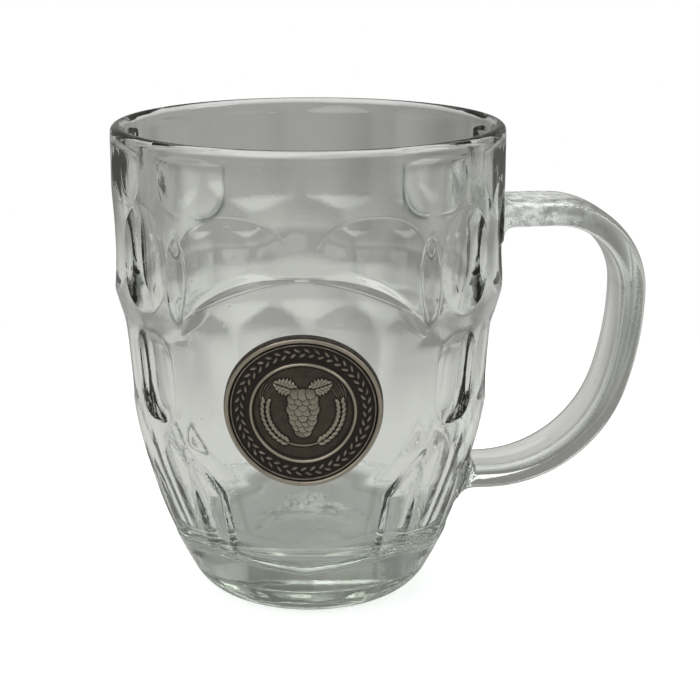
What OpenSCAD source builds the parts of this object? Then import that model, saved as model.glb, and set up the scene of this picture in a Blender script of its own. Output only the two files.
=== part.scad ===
// Dimpled glass beer mug with a cast pewter medallion on its front panel.
// Pressed glass vessel, hot-fused handle bow, bonding pad and medallion.
// +Z is up, the handle points along +X and the foot rests on Z = 0.

/* [Vessel] */
// Height from the foot to the top of the rim
mug_h = 121; // [112:1:140]
// Outside diameter at the rim
rim_d = 98; // [94:1:110]
// Thickness of the glass at the rim
rim_wall = 3.4; // [2.6:0.1:4.4]
// Thickness of the glass down the side
side_wall = 4.6; // [4:0.1:5.5]
// Thickness of the solid glass base
base_t = 17; // [10:1:20]

/* [Outline] */
// Height at which the straight upper wall begins
shoulder_z = 81; // [78:1:84]
// Height of the top of the waist band
waist_z = 73; // [68:1:75]
// How far the waist band lies inside the upper wall
waist_in = 2.3; // [1:0.1:3]
// Height at which the flank starts to curve in
belly_z = 51; // [46:1:56]
// How much narrower the belly is than the waist band
belly_in = 1.7; // [0.5:0.1:3]
// Radius of the long curve down the flank
flank_r = 116; // [90:1:160]
// Height of the heel, where the flank turns under
heel_z = 8; // [6:1:11]
// Radius of the mug at the heel
heel_ring_r = 31.2; // [29:0.1:33]
// Radius of the curve under the heel
heel_r = 14; // [12:0.5:20]
// Outside radius of the flat foot
foot_r = 21.5; // [19:0.5:24]
// Radius of the hollow under the foot
punt_r = 17; // [12:0.5:18]
// Depth of the hollow under the foot
punt_depth = 1.2; // [0.6:0.1:2]

/* [Hollow] */
// Radius of the flat floor inside
floor_r = 21; // [18:0.5:24]
// Radius inside at the foot of the wall
well_r = 29; // [27:0.5:31]
// Height of the foot of the wall above the floor
well_rise = 6; // [4:0.5:8]
// Radius of the curve between floor and wall
well_curve_r = 9; // [8:0.5:12]
// Radius of the long curve inside the flank
inner_flank_r = 88; // [70:1:120]

/* [Dimples] */
// Number of columns round the mug beside the front span
columns = 9; // [8:1:11]
// Part of a turn that the front span takes
front_span = 72; // [66:1:78]
// Height of the middle of the top row
top_row_z = 110.8; // [108:0.2:112]
// Half the height of a top row dimple
top_row_half = 8.2; // [6:0.2:9]
// Depth of a top row dimple
top_row_depth = 1.4; // [0.6:0.1:1.8]
// Height of the middle of the second row
mid_row_z = 92; // [90:0.5:94]
// Half the height of a second row dimple
mid_row_half = 13; // [9:0.5:14]
// Depth of a second row dimple
mid_row_depth = 1.7; // [0.6:0.1:2]
// Height of the middle of the third row
low_row_z = 63; // [60:0.5:66]
// Half the width of a third row dimple
low_row_half = 8.2; // [6:0.2:9]
// Depth of a third row dimple
low_row_depth = 1.4; // [0.6:0.1:1.7]
// Height of the middle of the flutes
flute_z = 30; // [28:1:32]
// Radius across a flute
flute_r = 18; // [14:1:26]
// Depth of a flute
flute_depth = 0.8; // [0.5:0.1:1.2]
// Half the length of a flute
flute_half = 16; // [12:1:18]

/* [Front panel] */
// Turn of the front panel from square to the handle
front_turn = -8; // [-12:1:0]
// Height of the middle of the medallion
panel_z = 60; // [58:0.5:62]
// Depth of the panel at the medallion
panel_depth = 1.6; // [1:0.1:1.9]
// Lean of the panel, outwards at its top
panel_lean = 6.6; // [4:0.2:8]
// Radius of the panel's face, flatter than the wall
panel_face_r = 54; // [50:1:60]
// Radius of the arch over the panel
arch_r = 36; // [33:0.5:38]
// Height of the centre of the arch
arch_z = 57; // [55:0.5:59]
// Width of the land that stands between the arch and the dimples over it
arch_land = 1.2; // [0.6:0.1:2]

/* [Handle] */
// Width of the handle band
band_w = 19; // [15:0.5:24]
// Thickness of the handle band along its top bar
band_t = 7; // [5.4:0.2:8]
// Thickness of the handle band where it meets the lower root
band_low_t = 5.8; // [5.4:0.2:8]
// Radius of the band's long edges
band_edge_r = 2.4; // [1:0.1:2.4]
// Reach of the band's middle from the axis of the mug
handle_reach = 82.7; // [78:0.1:90]
// Height of the middle of the top bar
handle_top_z = 97.7; // [94:0.1:102]
// Radius of the upper bend
upper_bend_r = 20.6; // [16:0.2:24]
// Radius of the long bow down the back of the hand
bow_r = 79; // [70:1:110]
// Part of a turn that the bow takes
bow_sweep = 18.4; // [14:0.2:20]
// Radius of the lower bend
lower_bend_r = 34.5; // [31:0.5:37]
// How far each root stands out from the wall
root_out = 2; // [1:0.1:3]
// How much fuller a root is than the band
root_flare = 1.4; // [0.4:0.1:2]

/* [Medallion] */
// Diameter of the medallion
badge_d = 37.4; // [30:0.2:40]
// Thickness of the medallion's plate
badge_t = 2.2; // [1.6:0.1:3]
// Width of the raised border
badge_rim_w = 1.3; // [0.8:0.1:2]
// Height of the raised border
badge_rim_h = 0.8; // [0.3:0.1:1.2]
// Diameter of the inner raised ring
badge_ring_d = 25.4; // [20:0.2:28]
// Width of the inner raised ring
badge_ring_w = 0.9; // [0.5:0.1:1.5]
// Thickness of the bonding pad
pad_t = 0.6; // [0.3:0.1:1]
// How far the pad stays inside the medallion's edge
pad_inset = 0.9; // [0.5:0.1:2]

/* [Hidden] */
$fn = 96;
arc_steps = 8;
edge_steps = 3;
bend_steps = 5;
overrun = 10;
step_angle = (360 - front_span) / columns;
rim_r = rim_d / 2;
waist_r = rim_r - waist_in;
belly_r = waist_r - belly_in;
floor_z = base_t;

// Points along an arc from p to q that bulges away from the axis
function arc_between(p, q, r, n) =
    let (
        d = q - p,
        half = norm(d) / 2,
        big = max(r, half * sqrt(2)),
        side = [-d[1], d[0]] / norm(d),
        c = (p + q) / 2 + side * sqrt(big * big - half * half),
        a0 = atan2(p[1] - c[1], p[0] - c[0]),
        a1 = atan2(q[1] - c[1], q[0] - c[0])
    )
    [for (i = [0 : n]) c + big * [cos(a0 + (a1 - a0) * i / n), sin(a0 + (a1 - a0) * i / n)]];

// Outside of the vessel, from the foot up to the rim
heel_points = arc_between([foot_r, 0], [heel_ring_r, heel_z], heel_r, arc_steps);
flank_points = arc_between([heel_ring_r, heel_z], [belly_r, belly_z], flank_r, arc_steps);
upper_points = [[waist_r, waist_z], [rim_r, shoulder_z], [rim_r, mug_h - rim_wall / 2]];

// Half circle over the rim, from outside to inside
rim_points = [
    for (i = [1 : edge_steps * 2])
        let (a = 180 * i / (edge_steps * 2))
        [rim_r - rim_wall / 2 + rim_wall / 2 * cos(a), mug_h - rim_wall / 2 + rim_wall / 2 * sin(a)]
];

// Inside of the vessel, from the floor up to the rim
well_points = arc_between([floor_r, floor_z], [well_r, floor_z + well_rise], well_curve_r, edge_steps);
inner_flank_points =
    arc_between([well_r, floor_z + well_rise], [belly_r - side_wall, belly_z], inner_flank_r, arc_steps);
inner_upper_points = [
    [waist_r - side_wall, waist_z],
    [rim_r - side_wall, shoulder_z],
    rim_points[len(rim_points) - 1]
];

function joined(lists) = [for (l = lists) for (p = l) p];

// Centre and radius of the arc down the flank, the same as its points
flank_half = norm([belly_r - heel_ring_r, belly_z - heel_z]) / 2;
flank_big = max(flank_r, flank_half * sqrt(2));
flank_side = [heel_z - belly_z, belly_r - heel_ring_r] / (2 * flank_half);
flank_centre =
    [heel_ring_r + belly_r, heel_z + belly_z] / 2
    + flank_side * sqrt(flank_big * flank_big - flank_half * flank_half);

// Outside radius of the flank at height z
function flank_at(z) = flank_centre[0] + sqrt(flank_big * flank_big - pow(z - flank_centre[1], 2));

// Outside radius of the vessel at any height above the heel
function wall_at(z) =
    z >= shoulder_z ? rim_r
    : z >= waist_z ? waist_r + waist_in * (z - waist_z) / (shoulder_z - waist_z)
    : z >= belly_z ? belly_r + belly_in * (z - belly_z) / (waist_z - belly_z)
    : flank_at(z);

// Lean of the flank at height z
function flank_lean(z) = asin((flank_centre[1] - z) / flank_big);

panel_r = wall_at(panel_z) - panel_depth;

// Centre line of the handle
lower_sweep = 90 - bow_sweep;
top_bend_x = handle_reach - upper_bend_r;
top_bend_z = handle_top_z - upper_bend_r;
bow_x = handle_reach - bow_r;
low_bend_x = bow_x + (bow_r - lower_bend_r) * cos(bow_sweep);
low_bend_z = top_bend_z - (bow_r - lower_bend_r) * sin(bow_sweep);
handle_low_z = low_bend_z - lower_bend_r;
upper_root_x = rim_r + root_out;
lower_root_x = wall_at(handle_low_z + band_low_t / 2) + root_out;
root_start_x = rim_r - rim_wall;
low_start_x = flank_at(handle_low_z) - side_wall;

// Angle of a column from the middle of the front, counted from the edge of the front span
function column_angle(i) = front_span / 2 + i * step_angle;

// Places children on the wall: x across it, -y outwards, z up, turned round the axis
module on_wall(angle, z, r) {
    rotate([0, 0, front_turn + angle])
        translate([0, -r, z])
            children();
}

// Cuts a crosswise hollow: its curve runs up the wall and it is straight across
module cross_dimple(angle, z, half, depth) {
    r = (half * half + depth * depth) / (2 * depth);
    on_wall(angle, z, wall_at(z) - depth + r)
        rotate([0, 90, 0])
            translate([0, 0, -rim_r / 2])
                cylinder(r = r, h = rim_r);
}

// Cuts a round-bottomed hollow with one radius both ways
module round_dimple(angle, z, half, depth) {
    r = 1 / (2 * depth / (half * half) - 1 / wall_at(z));
    on_wall(angle, z, wall_at(z) - depth + r)
        sphere(r = r);
}

// Cuts a leaf-shaped flute that leans with the flank
module flute(angle) {
    on_wall(angle, flute_z, flank_at(flute_z) - flute_depth)
        rotate([flank_lean(flute_z), 0, 0])
            translate([0, -flute_r, -flute_half])
                cylinder(r = flute_r, h = 2 * flute_half);
}

// Round core that bounds the front panel below its arch, grown by some amount
module arch_core(grow) {
    on_wall(0, arch_z, 0)
        rotate([90, 0, 0])
            cylinder(r = arch_r + grow, h = rim_d);
}

// Places children on the panel's face: x across, -y outwards, z up the lean
module on_panel() {
    on_wall(0, panel_z, panel_r)
        rotate([panel_lean, 0, 0])
            children();
}

// Upright cylinder whose front face is the panel's face, grown by some amount
module panel_drum(grow) {
    on_panel()
        translate([0, panel_face_r, -mug_h / 2])
            cylinder(r = panel_face_r + grow, h = mug_h);
}

module panel_cut() {
    difference() {
        arch_core(0);
        panel_drum(0);
        rotate([0, 0, front_turn])
            translate([-rim_d, -rim_r / 2, -mug_h])
                cube([2 * rim_d, 2 * rim_d, 3 * mug_h]);
    }
}

module vessel_outside() {
    rotate_extrude()
        polygon(joined([[[0, 0]], heel_points, flank_points, upper_points, rim_points,
                        [[0, mug_h - rim_wall / 2]]]));
}

module vessel_hollow() {
    rotate_extrude()
        polygon(joined([[[0, floor_z]], well_points, inner_flank_points, inner_upper_points,
                        [[rim_points[len(rim_points) - 1][0], mug_h + overrun], [0, mug_h + overrun]]]));
}

// Hollow under the foot
module punt() {
    r = (punt_r * punt_r + punt_depth * punt_depth) / (2 * punt_depth);
    translate([0, 0, punt_depth - r])
        sphere(r = r);
}

// Section of the band, anticlockwise: x is its thickness t and y its width w
function band_ring(t, w) = [
    for (k = [0 : 3])
        for (i = [0 : edge_steps])
            let (
                a = 90 * k + 90 * i / edge_steps,
                x = (k == 0 || k == 3 ? 1 : -1) * (t / 2 - band_edge_r),
                y = (k < 2 ? 1 : -1) * (w / 2 - band_edge_r)
            )
            [x + band_edge_r * cos(a), y + band_edge_r * sin(a)]
];

// Places along the handle's centre line: x, z and the direction that its outer face looks
function bend_places(x, z, r, from, to, n) = [
    for (i = [0 : n])
        let (a = from + (to - from) * i / n)
        [x + r * cos(a), z + r * sin(a), a]
];
handle_places = joined([
    [[upper_root_x, handle_top_z, 90]],
    bend_places(top_bend_x, top_bend_z, upper_bend_r, 90, 0, 2 * bend_steps),
    [for (i = [1 : bend_steps]) bend_places(bow_x, top_bend_z, bow_r, 0, -bow_sweep, bend_steps)[i]],
    [for (i = [1 : 2 * bend_steps])
        bend_places(low_bend_x, low_bend_z, lower_bend_r, -bow_sweep, -90, 2 * bend_steps)[i]],
    [[lower_root_x, handle_low_z, -90]]
]);

// Root of the handle: a straight bar along X that stands out from the wall
module root_bar(x0, x1, z, t) {
    translate([x0, 0, z])
        rotate([0, 90, 0])
            linear_extrude(x1 - x0)
                polygon(band_ring(t + root_flare, band_w + root_flare));
}

// The vessel is cut in stages, one ring of hollows at a time
module fluted_vessel() {
    difference() {
        vessel_outside();
        for (i = [0 : 2 * columns])
            flute(column_angle(i / 2));
    }
}

module low_row_vessel() {
    difference() {
        fluted_vessel();
        for (i = [0 : columns - 1])
            round_dimple(column_angle(i + 0.5), low_row_z, low_row_half, low_row_depth);
    }
}

module mid_row_vessel() {
    difference() {
        low_row_vessel();
        for (i = [0 : columns - 1])
            cross_dimple(column_angle(i + 0.5), mid_row_z, mid_row_half, mid_row_depth);
    }
}

module top_row_vessel() {
    difference() {
        mid_row_vessel();
        for (i = [0 : columns])
            cross_dimple(column_angle(i), top_row_z, top_row_half, top_row_depth);
    }
}

// The two second row dimples over the panel stop at the land along its arch
module front_pair_vessel() {
    difference() {
        top_row_vessel();
        difference() {
            for (side = [-1, 1])
                cross_dimple(side * front_span / 4, mid_row_z, mid_row_half, mid_row_depth);
            arch_core(arch_land);
        }
    }
}

module panel_vessel() {
    difference() {
        front_pair_vessel();
        panel_cut();
    }
}

module glass_body() {
    color([0.80, 0.86, 0.83, 0.45])
        difference() {
            union() {
                panel_vessel();
                root_bar(root_start_x, upper_root_x, handle_top_z, band_t);
                root_bar(low_start_x, lower_root_x, handle_low_z, band_low_t);
            }
            vessel_hollow();
            punt();
        }
}

module handle() {
    last = len(handle_places) - 1;
    rings = [
        for (i = [0 : last])
            let (p = handle_places[i], t = band_t + (band_low_t - band_t) * i / last)
            [for (q = band_ring(t, band_w)) [p[0] + q[0] * cos(p[2]), q[1], p[1] + q[0] * sin(p[2])]]
    ];
    n = len(rings[0]);
    sides = [
        for (i = [0 : last - 1])
            for (j = [0 : n - 1])
                let (a = i * n + j, b = i * n + (j + 1) % n)
                for (f = [[a, a + n, b + n], [a, b + n, b]])
                    f
    ];
    color([0.78, 0.85, 0.82, 0.45])
        polyhedron(
            points = joined(rings),
            faces = concat([[for (j = [0 : n - 1]) j]], sides, [[for (j = [n - 1 : -1 : 0]) last * n + j]])
        );
}

// Round piece of the shell between two faces that follow the panel
module panel_disc(r, inner, outer) {
    intersection() {
        on_panel()
            rotate([90, 0, 0])
                cylinder(r = r, h = 2 * (badge_t + badge_rim_h + pad_t) + panel_face_r / 2, center = true);
        difference() {
            panel_drum(outer);
            panel_drum(inner);
            rotate([0, 0, front_turn])
                translate([-rim_d, 0, -mug_h])
                    cube([2 * rim_d, 2 * rim_d, 3 * mug_h]);
        }
    }
}

// Bore or post through the medallion
module badge_bore(r) {
    on_panel()
        rotate([90, 0, 0])
            cylinder(r = r, h = panel_face_r, center = true);
}

// What is sunk in the medallion's face between its border and its inner ring, and inside that
module badge_recess() {
    difference() {
        badge_bore(badge_d / 2 - badge_rim_w);
        panel_drum(pad_t + badge_t);
        difference() {
            badge_bore(badge_ring_d / 2);
            badge_bore(badge_ring_d / 2 - badge_ring_w);
        }
    }
}

module badge() {
    color([0.38, 0.36, 0.33])
        difference() {
            panel_disc(badge_d / 2, pad_t, pad_t + badge_t + badge_rim_h);
            badge_recess();
        }
}

module adhesive_pad() {
    color([0.25, 0.25, 0.24])
        panel_disc(badge_d / 2 - pad_inset, 0, pad_t);
}

glass_body();
handle();
badge();
adhesive_pad();
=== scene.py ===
"""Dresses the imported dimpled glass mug: glass vessel, fused handle, pewter medallion and its bonding pad.

Every piece is a surface worked out with numpy in millimetres, in the mug's own frame: +Z up from the
foot, +X towards the handle, and the front panel turned a little off square to the handle.
"""

import logging
import math
from dataclasses import dataclass
from typing import Any, Sequence

import bpy
import numpy as np
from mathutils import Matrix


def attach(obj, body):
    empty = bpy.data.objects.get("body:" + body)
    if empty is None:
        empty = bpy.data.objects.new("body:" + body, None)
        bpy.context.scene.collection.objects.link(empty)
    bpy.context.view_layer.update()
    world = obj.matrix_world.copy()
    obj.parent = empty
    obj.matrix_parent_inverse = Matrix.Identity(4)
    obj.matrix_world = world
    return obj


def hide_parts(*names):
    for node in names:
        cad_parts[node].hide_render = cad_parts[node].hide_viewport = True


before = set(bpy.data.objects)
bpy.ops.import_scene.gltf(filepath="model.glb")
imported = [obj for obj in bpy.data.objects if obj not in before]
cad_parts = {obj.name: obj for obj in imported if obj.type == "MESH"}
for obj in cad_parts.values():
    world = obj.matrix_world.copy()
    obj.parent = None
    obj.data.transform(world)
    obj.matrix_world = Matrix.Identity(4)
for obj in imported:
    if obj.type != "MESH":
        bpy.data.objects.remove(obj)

log = logging.getLogger("mug")

Colour = tuple[float, float, float]

MM = 0.001
OPEN = 9.0  # Depth where a limit is off, deeper than any cut.
FRAME_PIXELS = 700
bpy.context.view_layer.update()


def soft_max(a: np.ndarray, b: np.ndarray, soft: float) -> np.ndarray:
    """Larger of two fields, rounded over a width of about soft where they cross.

    The formula is half of the sum plus the root of the squared difference and the squared softness.

    Args:
        a: First field.
        b: Second field.
        soft: Rounding of the crease, in the fields' own unit.

    Returns:
        The blended field.
    """
    return 0.5 * (a + b + np.sqrt((a - b) ** 2 + soft * soft))


def soft_min(a: np.ndarray, b: np.ndarray, soft: float) -> np.ndarray:
    """Smaller of two fields, rounded over a width of about soft where they cross."""
    return -soft_max(-a, -b, soft)


def ease(x: np.ndarray, low: float, high: float) -> np.ndarray:
    """Smooth step from 0 at low to 1 at high, by the cubic 3t^2 - 2t^3."""
    t = np.clip((x - low) / (high - low), 0.0, 1.0)
    return t * t * (3.0 - 2.0 * t)


def arc_between(p: Sequence[float], q: Sequence[float], radius: float, count: int) -> np.ndarray:
    """Points on the arc from p to q that bulges away from the axis.

    The centre lies on the middle line of the chord, at the distance that gives the radius.

    Args:
        p: First point, as radius and height.
        q: Last point, as radius and height.
        radius: Radius of the arc.
        count: Number of steps along it.

    Returns:
        An array of count + 1 points.
    """
    start, end = np.asarray(p, float), np.asarray(q, float)
    chord = end - start
    half = np.hypot(*chord) / 2
    side = np.array([-chord[1], chord[0]]) / (2 * half)
    centre = (start + end) / 2 + side * math.sqrt(max(radius**2 - half**2, 0.0))
    a0 = math.atan2(*(start - centre)[::-1])
    a1 = math.atan2(*(end - centre)[::-1])
    a = np.linspace(a0, a1, count + 1)
    return centre + radius * np.stack([np.cos(a), np.sin(a)], axis=-1)


def resample(path: np.ndarray, spacing: float) -> np.ndarray:
    """Points along a path at even steps of about the given spacing, ends included.

    Args:
        path: Points in order along the path.
        spacing: Distance between two points.

    Returns:
        The points, as an array of rows.
    """
    run = np.concatenate([[0.0], np.cumsum(np.hypot(*np.diff(path, axis=0).T))])
    steps = np.linspace(0.0, run[-1], max(2, round(run[-1] / spacing) + 1))
    return np.stack([np.interp(steps, run, path[:, i]) for i in range(path.shape[1])], axis=-1)


def stacked(*parts: np.ndarray | float) -> np.ndarray:
    """Points whose coordinates are the given arrays, each spread over the shape that all of them share."""
    return np.stack(np.broadcast_arrays(*parts), axis=-1)


def signed(degrees: np.ndarray) -> np.ndarray:
    """The same angles counted from -180 to 180 degrees."""
    return (degrees + 180.0) % 360.0 - 180.0


def off_column(turn: np.ndarray, first: np.ndarray | float, pitch: float, last: int) -> np.ndarray:
    """Angle from the middle of the nearest column, of those from the first to the one numbered last."""
    return turn - first - pitch * np.clip(np.round((turn - first) / pitch), 0, last)


class GridMesh:
    """Closed mesh from a grid of points whose columns run round and whose rows run from end to end."""

    def __init__(self, points: np.ndarray) -> None:
        """Keeps the grid, an array of rows, columns and x, y, z in millimetres."""
        self.points = points

    def build(self, name: str) -> bpy.types.Object:
        """Makes the object, with its faces outwards and its shading smooth.

        Quads join each row to the next and wrap round. Fans of triangles close both ends.

        Args:
            name: Name of the object and its mesh.

        Returns:
            The linked object.
        """
        rows, cols = self.points.shape[:2]
        index = np.arange(rows * cols).reshape(rows, cols)
        nxt = np.roll(index, -1, axis=1)
        quads = np.stack([index[:-1], nxt[:-1], nxt[1:], index[1:]], axis=-1).reshape(-1, 4)
        low, high = rows * cols, rows * cols + 1
        fan_low = np.stack([np.full(cols, low), nxt[0], index[0]], axis=-1)
        fan_high = np.stack([np.full(cols, high), index[-1], nxt[-1]], axis=-1)
        middles = [self.points[0].mean(axis=0), self.points[-1].mean(axis=0)]
        verts = np.concatenate([self.points.reshape(-1, 3), middles]) * MM
        mesh = bpy.data.meshes.new(name)
        faces = quads.tolist() + fan_low.tolist() + fan_high.tolist()
        mesh.from_pydata(verts.tolist(), [], faces)
        mesh.polygons.foreach_set("use_smooth", np.ones(len(faces), dtype=bool))
        mesh.update()
        piece = bpy.data.objects.new(name, mesh)
        bpy.context.scene.collection.objects.link(piece)
        self.face_outwards(mesh)
        return piece

    @staticmethod
    def face_outwards(mesh: bpy.types.Mesh) -> None:
        """Turns every face round if the mesh's signed volume is negative.

        Args:
            mesh: Closed mesh.
        """
        mesh.calc_loop_triangles()
        tris = np.empty(len(mesh.loop_triangles) * 3, dtype=np.int32)
        mesh.loop_triangles.foreach_get("vertices", tris)
        co = np.empty(len(mesh.vertices) * 3)
        mesh.vertices.foreach_get("co", co)
        a, b, c = np.moveaxis(co.reshape(-1, 3)[tris.reshape(-1, 3)], 1, 0)
        if np.einsum("ij,ij->i", a, np.cross(b, c)).sum() < 0:
            mesh.flip_normals()


def keep_per_point(piece: bpy.types.Object, name: str, values: np.ndarray) -> None:
    """Keeps one number per point on a piece's mesh, for its material to read."""
    layer = piece.data.attributes.new(name, "FLOAT", "POINT")
    layer.data.foreach_set("value", values.astype(np.float32))


class Wire:
    """Number socket that takes part in Python arithmetic and adds its Math nodes."""

    def __init__(self, board: "Board", socket: bpy.types.NodeSocket) -> None:
        """Keeps the board and the socket that it wraps."""
        self.board = board
        self.socket = socket

    def __add__(self, other: Any) -> "Wire":
        """Sum."""
        return self.board.math("ADD", self, other)

    def __radd__(self, other: Any) -> "Wire":
        """Sum with the number first."""
        return self.board.math("ADD", other, self)

    def __sub__(self, other: Any) -> "Wire":
        """Difference."""
        return self.board.math("SUBTRACT", self, other)

    def __rsub__(self, other: Any) -> "Wire":
        """Difference with the number first."""
        return self.board.math("SUBTRACT", other, self)

    def __mul__(self, other: Any) -> "Wire":
        """Product."""
        return self.board.math("MULTIPLY", self, other)

    def __rmul__(self, other: Any) -> "Wire":
        """Product with the number first."""
        return self.board.math("MULTIPLY", other, self)

    def __truediv__(self, other: Any) -> "Wire":
        """Quotient."""
        return self.board.math("DIVIDE", self, other)

    def __pow__(self, other: Any) -> "Wire":
        """Power."""
        return self.board.math("POWER", self, other)

    def __mod__(self, other: Any) -> "Wire":
        """Remainder, never negative."""
        return self.board.math("FLOORED_MODULO", self, other)

    def __abs__(self) -> "Wire":
        """Size without the sign."""
        return self.board.math("ABSOLUTE", self)

    def at_least(self, other: Any) -> "Wire":
        """Larger of two numbers."""
        return self.board.math("MAXIMUM", self, other)

    def at_most(self, other: Any) -> "Wire":
        """Smaller of two numbers."""
        return self.board.math("MINIMUM", self, other)

    def ramp(self, low: float, high: float) -> "Wire":
        """Smooth step from 0 at low to 1 at high."""
        node = self.board.add(
            "ShaderNodeMapRange",
            {"interpolation_type": "SMOOTHSTEP"},
            {"Value": self, "From Min": low, "From Max": high},
        )
        return Wire(self.board, node.outputs["Result"])


class Board:
    """Node tree of a material or world, with one method that adds any node."""

    def __init__(self, owner: bpy.types.ID) -> None:
        """Empties the owner's node tree.

        Args:
            owner: Material or world that the tree belongs to.
        """
        owner.use_nodes = True
        self.tree = owner.node_tree
        self.tree.nodes.clear()

    def add(self, kind: str, settings: dict[str, Any], sockets: dict[Any, Any]) -> bpy.types.Node:
        """Adds a node.

        Args:
            kind: Type of the node.
            settings: Properties that are set first. The key stops fills a colour ramp.
            sockets: Values or links of the inputs, by name or number. A colour has three parts.

        Returns:
            The node.
        """
        node = self.tree.nodes.new(kind)
        for key, value in settings.items():
            if key == "stops":
                self.fill_ramp(node, value)
            else:
                setattr(node, key, value)
        for key, value in sockets.items():
            source = value.socket if isinstance(value, Wire) else value
            slot = node.inputs[key]
            if isinstance(source, bpy.types.NodeSocket):
                self.tree.links.new(source, slot)
            else:
                slot.default_value = (*source, 1.0) if slot.type == "RGBA" else source
        return node

    @staticmethod
    def fill_ramp(node: bpy.types.Node, stops: Sequence[tuple[float, tuple[float, ...]]]) -> None:
        """Sets the places and colours of a colour ramp.

        Args:
            node: Color Ramp node.
            stops: Place and colour of each stop, in order.
        """
        band = node.color_ramp.elements
        while len(band) < len(stops):
            band.new(1.0)
        for element, (place, colour) in zip(band, stops):
            element.position = place
            element.color = (*colour, 1.0)

    def math(self, operation: str, *values: Any) -> Wire:
        """Adds a Math node on up to three numbers or wires."""
        sockets = dict(enumerate(values))
        return Wire(self, self.add("ShaderNodeMath", {"operation": operation}, sockets).outputs[0])

    def number(self, node: bpy.types.Node, output: str | int) -> Wire:
        """Wraps one output of a node as a number."""
        return Wire(self, node.outputs[output])

    def place(self, scale: tuple[float, float, float] = (1.0, 1.0, 1.0)) -> bpy.types.NodeSocket:
        """Object coordinates in metres, stretched by a scale along each axis.

        Args:
            scale: Stretch along X, Y and Z.

        Returns:
            The socket that gives the place.
        """
        coord = self.add("ShaderNodeTexCoord", {}, {})
        node = self.add("ShaderNodeMapping", {}, {"Vector": coord.outputs["Object"], "Scale": scale})
        return node.outputs["Vector"]

    def noise(self, vector: bpy.types.NodeSocket, per_metre: float, detail: float, rough: float) -> Wire:
        """Noise from about 0 to 1 at a number of lumps to the metre."""
        sockets = {"Vector": vector, "Scale": per_metre, "Detail": detail, "Roughness": rough}
        return self.number(self.add("ShaderNodeTexNoise", {}, sockets), 0)

    def blend(self, share: Any, first: Any, second: Any) -> bpy.types.NodeSocket:
        """Colour between two colours by a share from 0 to 1. A Mix node has its colours on inputs 6 and 7."""
        return self.add("ShaderNodeMix", {"data_type": "RGBA"}, {0: share, 6: first, 7: second}).outputs[2]

    def parts(self, vector: bpy.types.NodeSocket) -> tuple[Wire, Wire, Wire]:
        """The three numbers of a vector."""
        node = self.add("ShaderNodeSeparateXYZ", {}, {"Vector": vector})
        return self.number(node, 0), self.number(node, 1), self.number(node, 2)

    def attribute(self, name: str) -> Wire:
        """Number that the piece's mesh keeps per point."""
        return self.number(self.add("ShaderNodeAttribute", {"attribute_name": name}, {}), "Fac")

    def bump(self, height: Wire, strength: float = 1.0) -> bpy.types.NodeSocket:
        """Normal of a skin whose height is given in metres."""
        sockets = {"Strength": strength, "Distance": 1.0, "Height": height}
        return self.add("ShaderNodeBump", {}, sockets).outputs["Normal"]

    def mixed(self, share: Wire, first: bpy.types.Node, second: bpy.types.Node) -> bpy.types.Node:
        """Shader between two shaders by a share from 0 to 1."""
        return self.add("ShaderNodeMixShader", {}, {0: share, 1: first.outputs[0], 2: second.outputs[0]})


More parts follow.
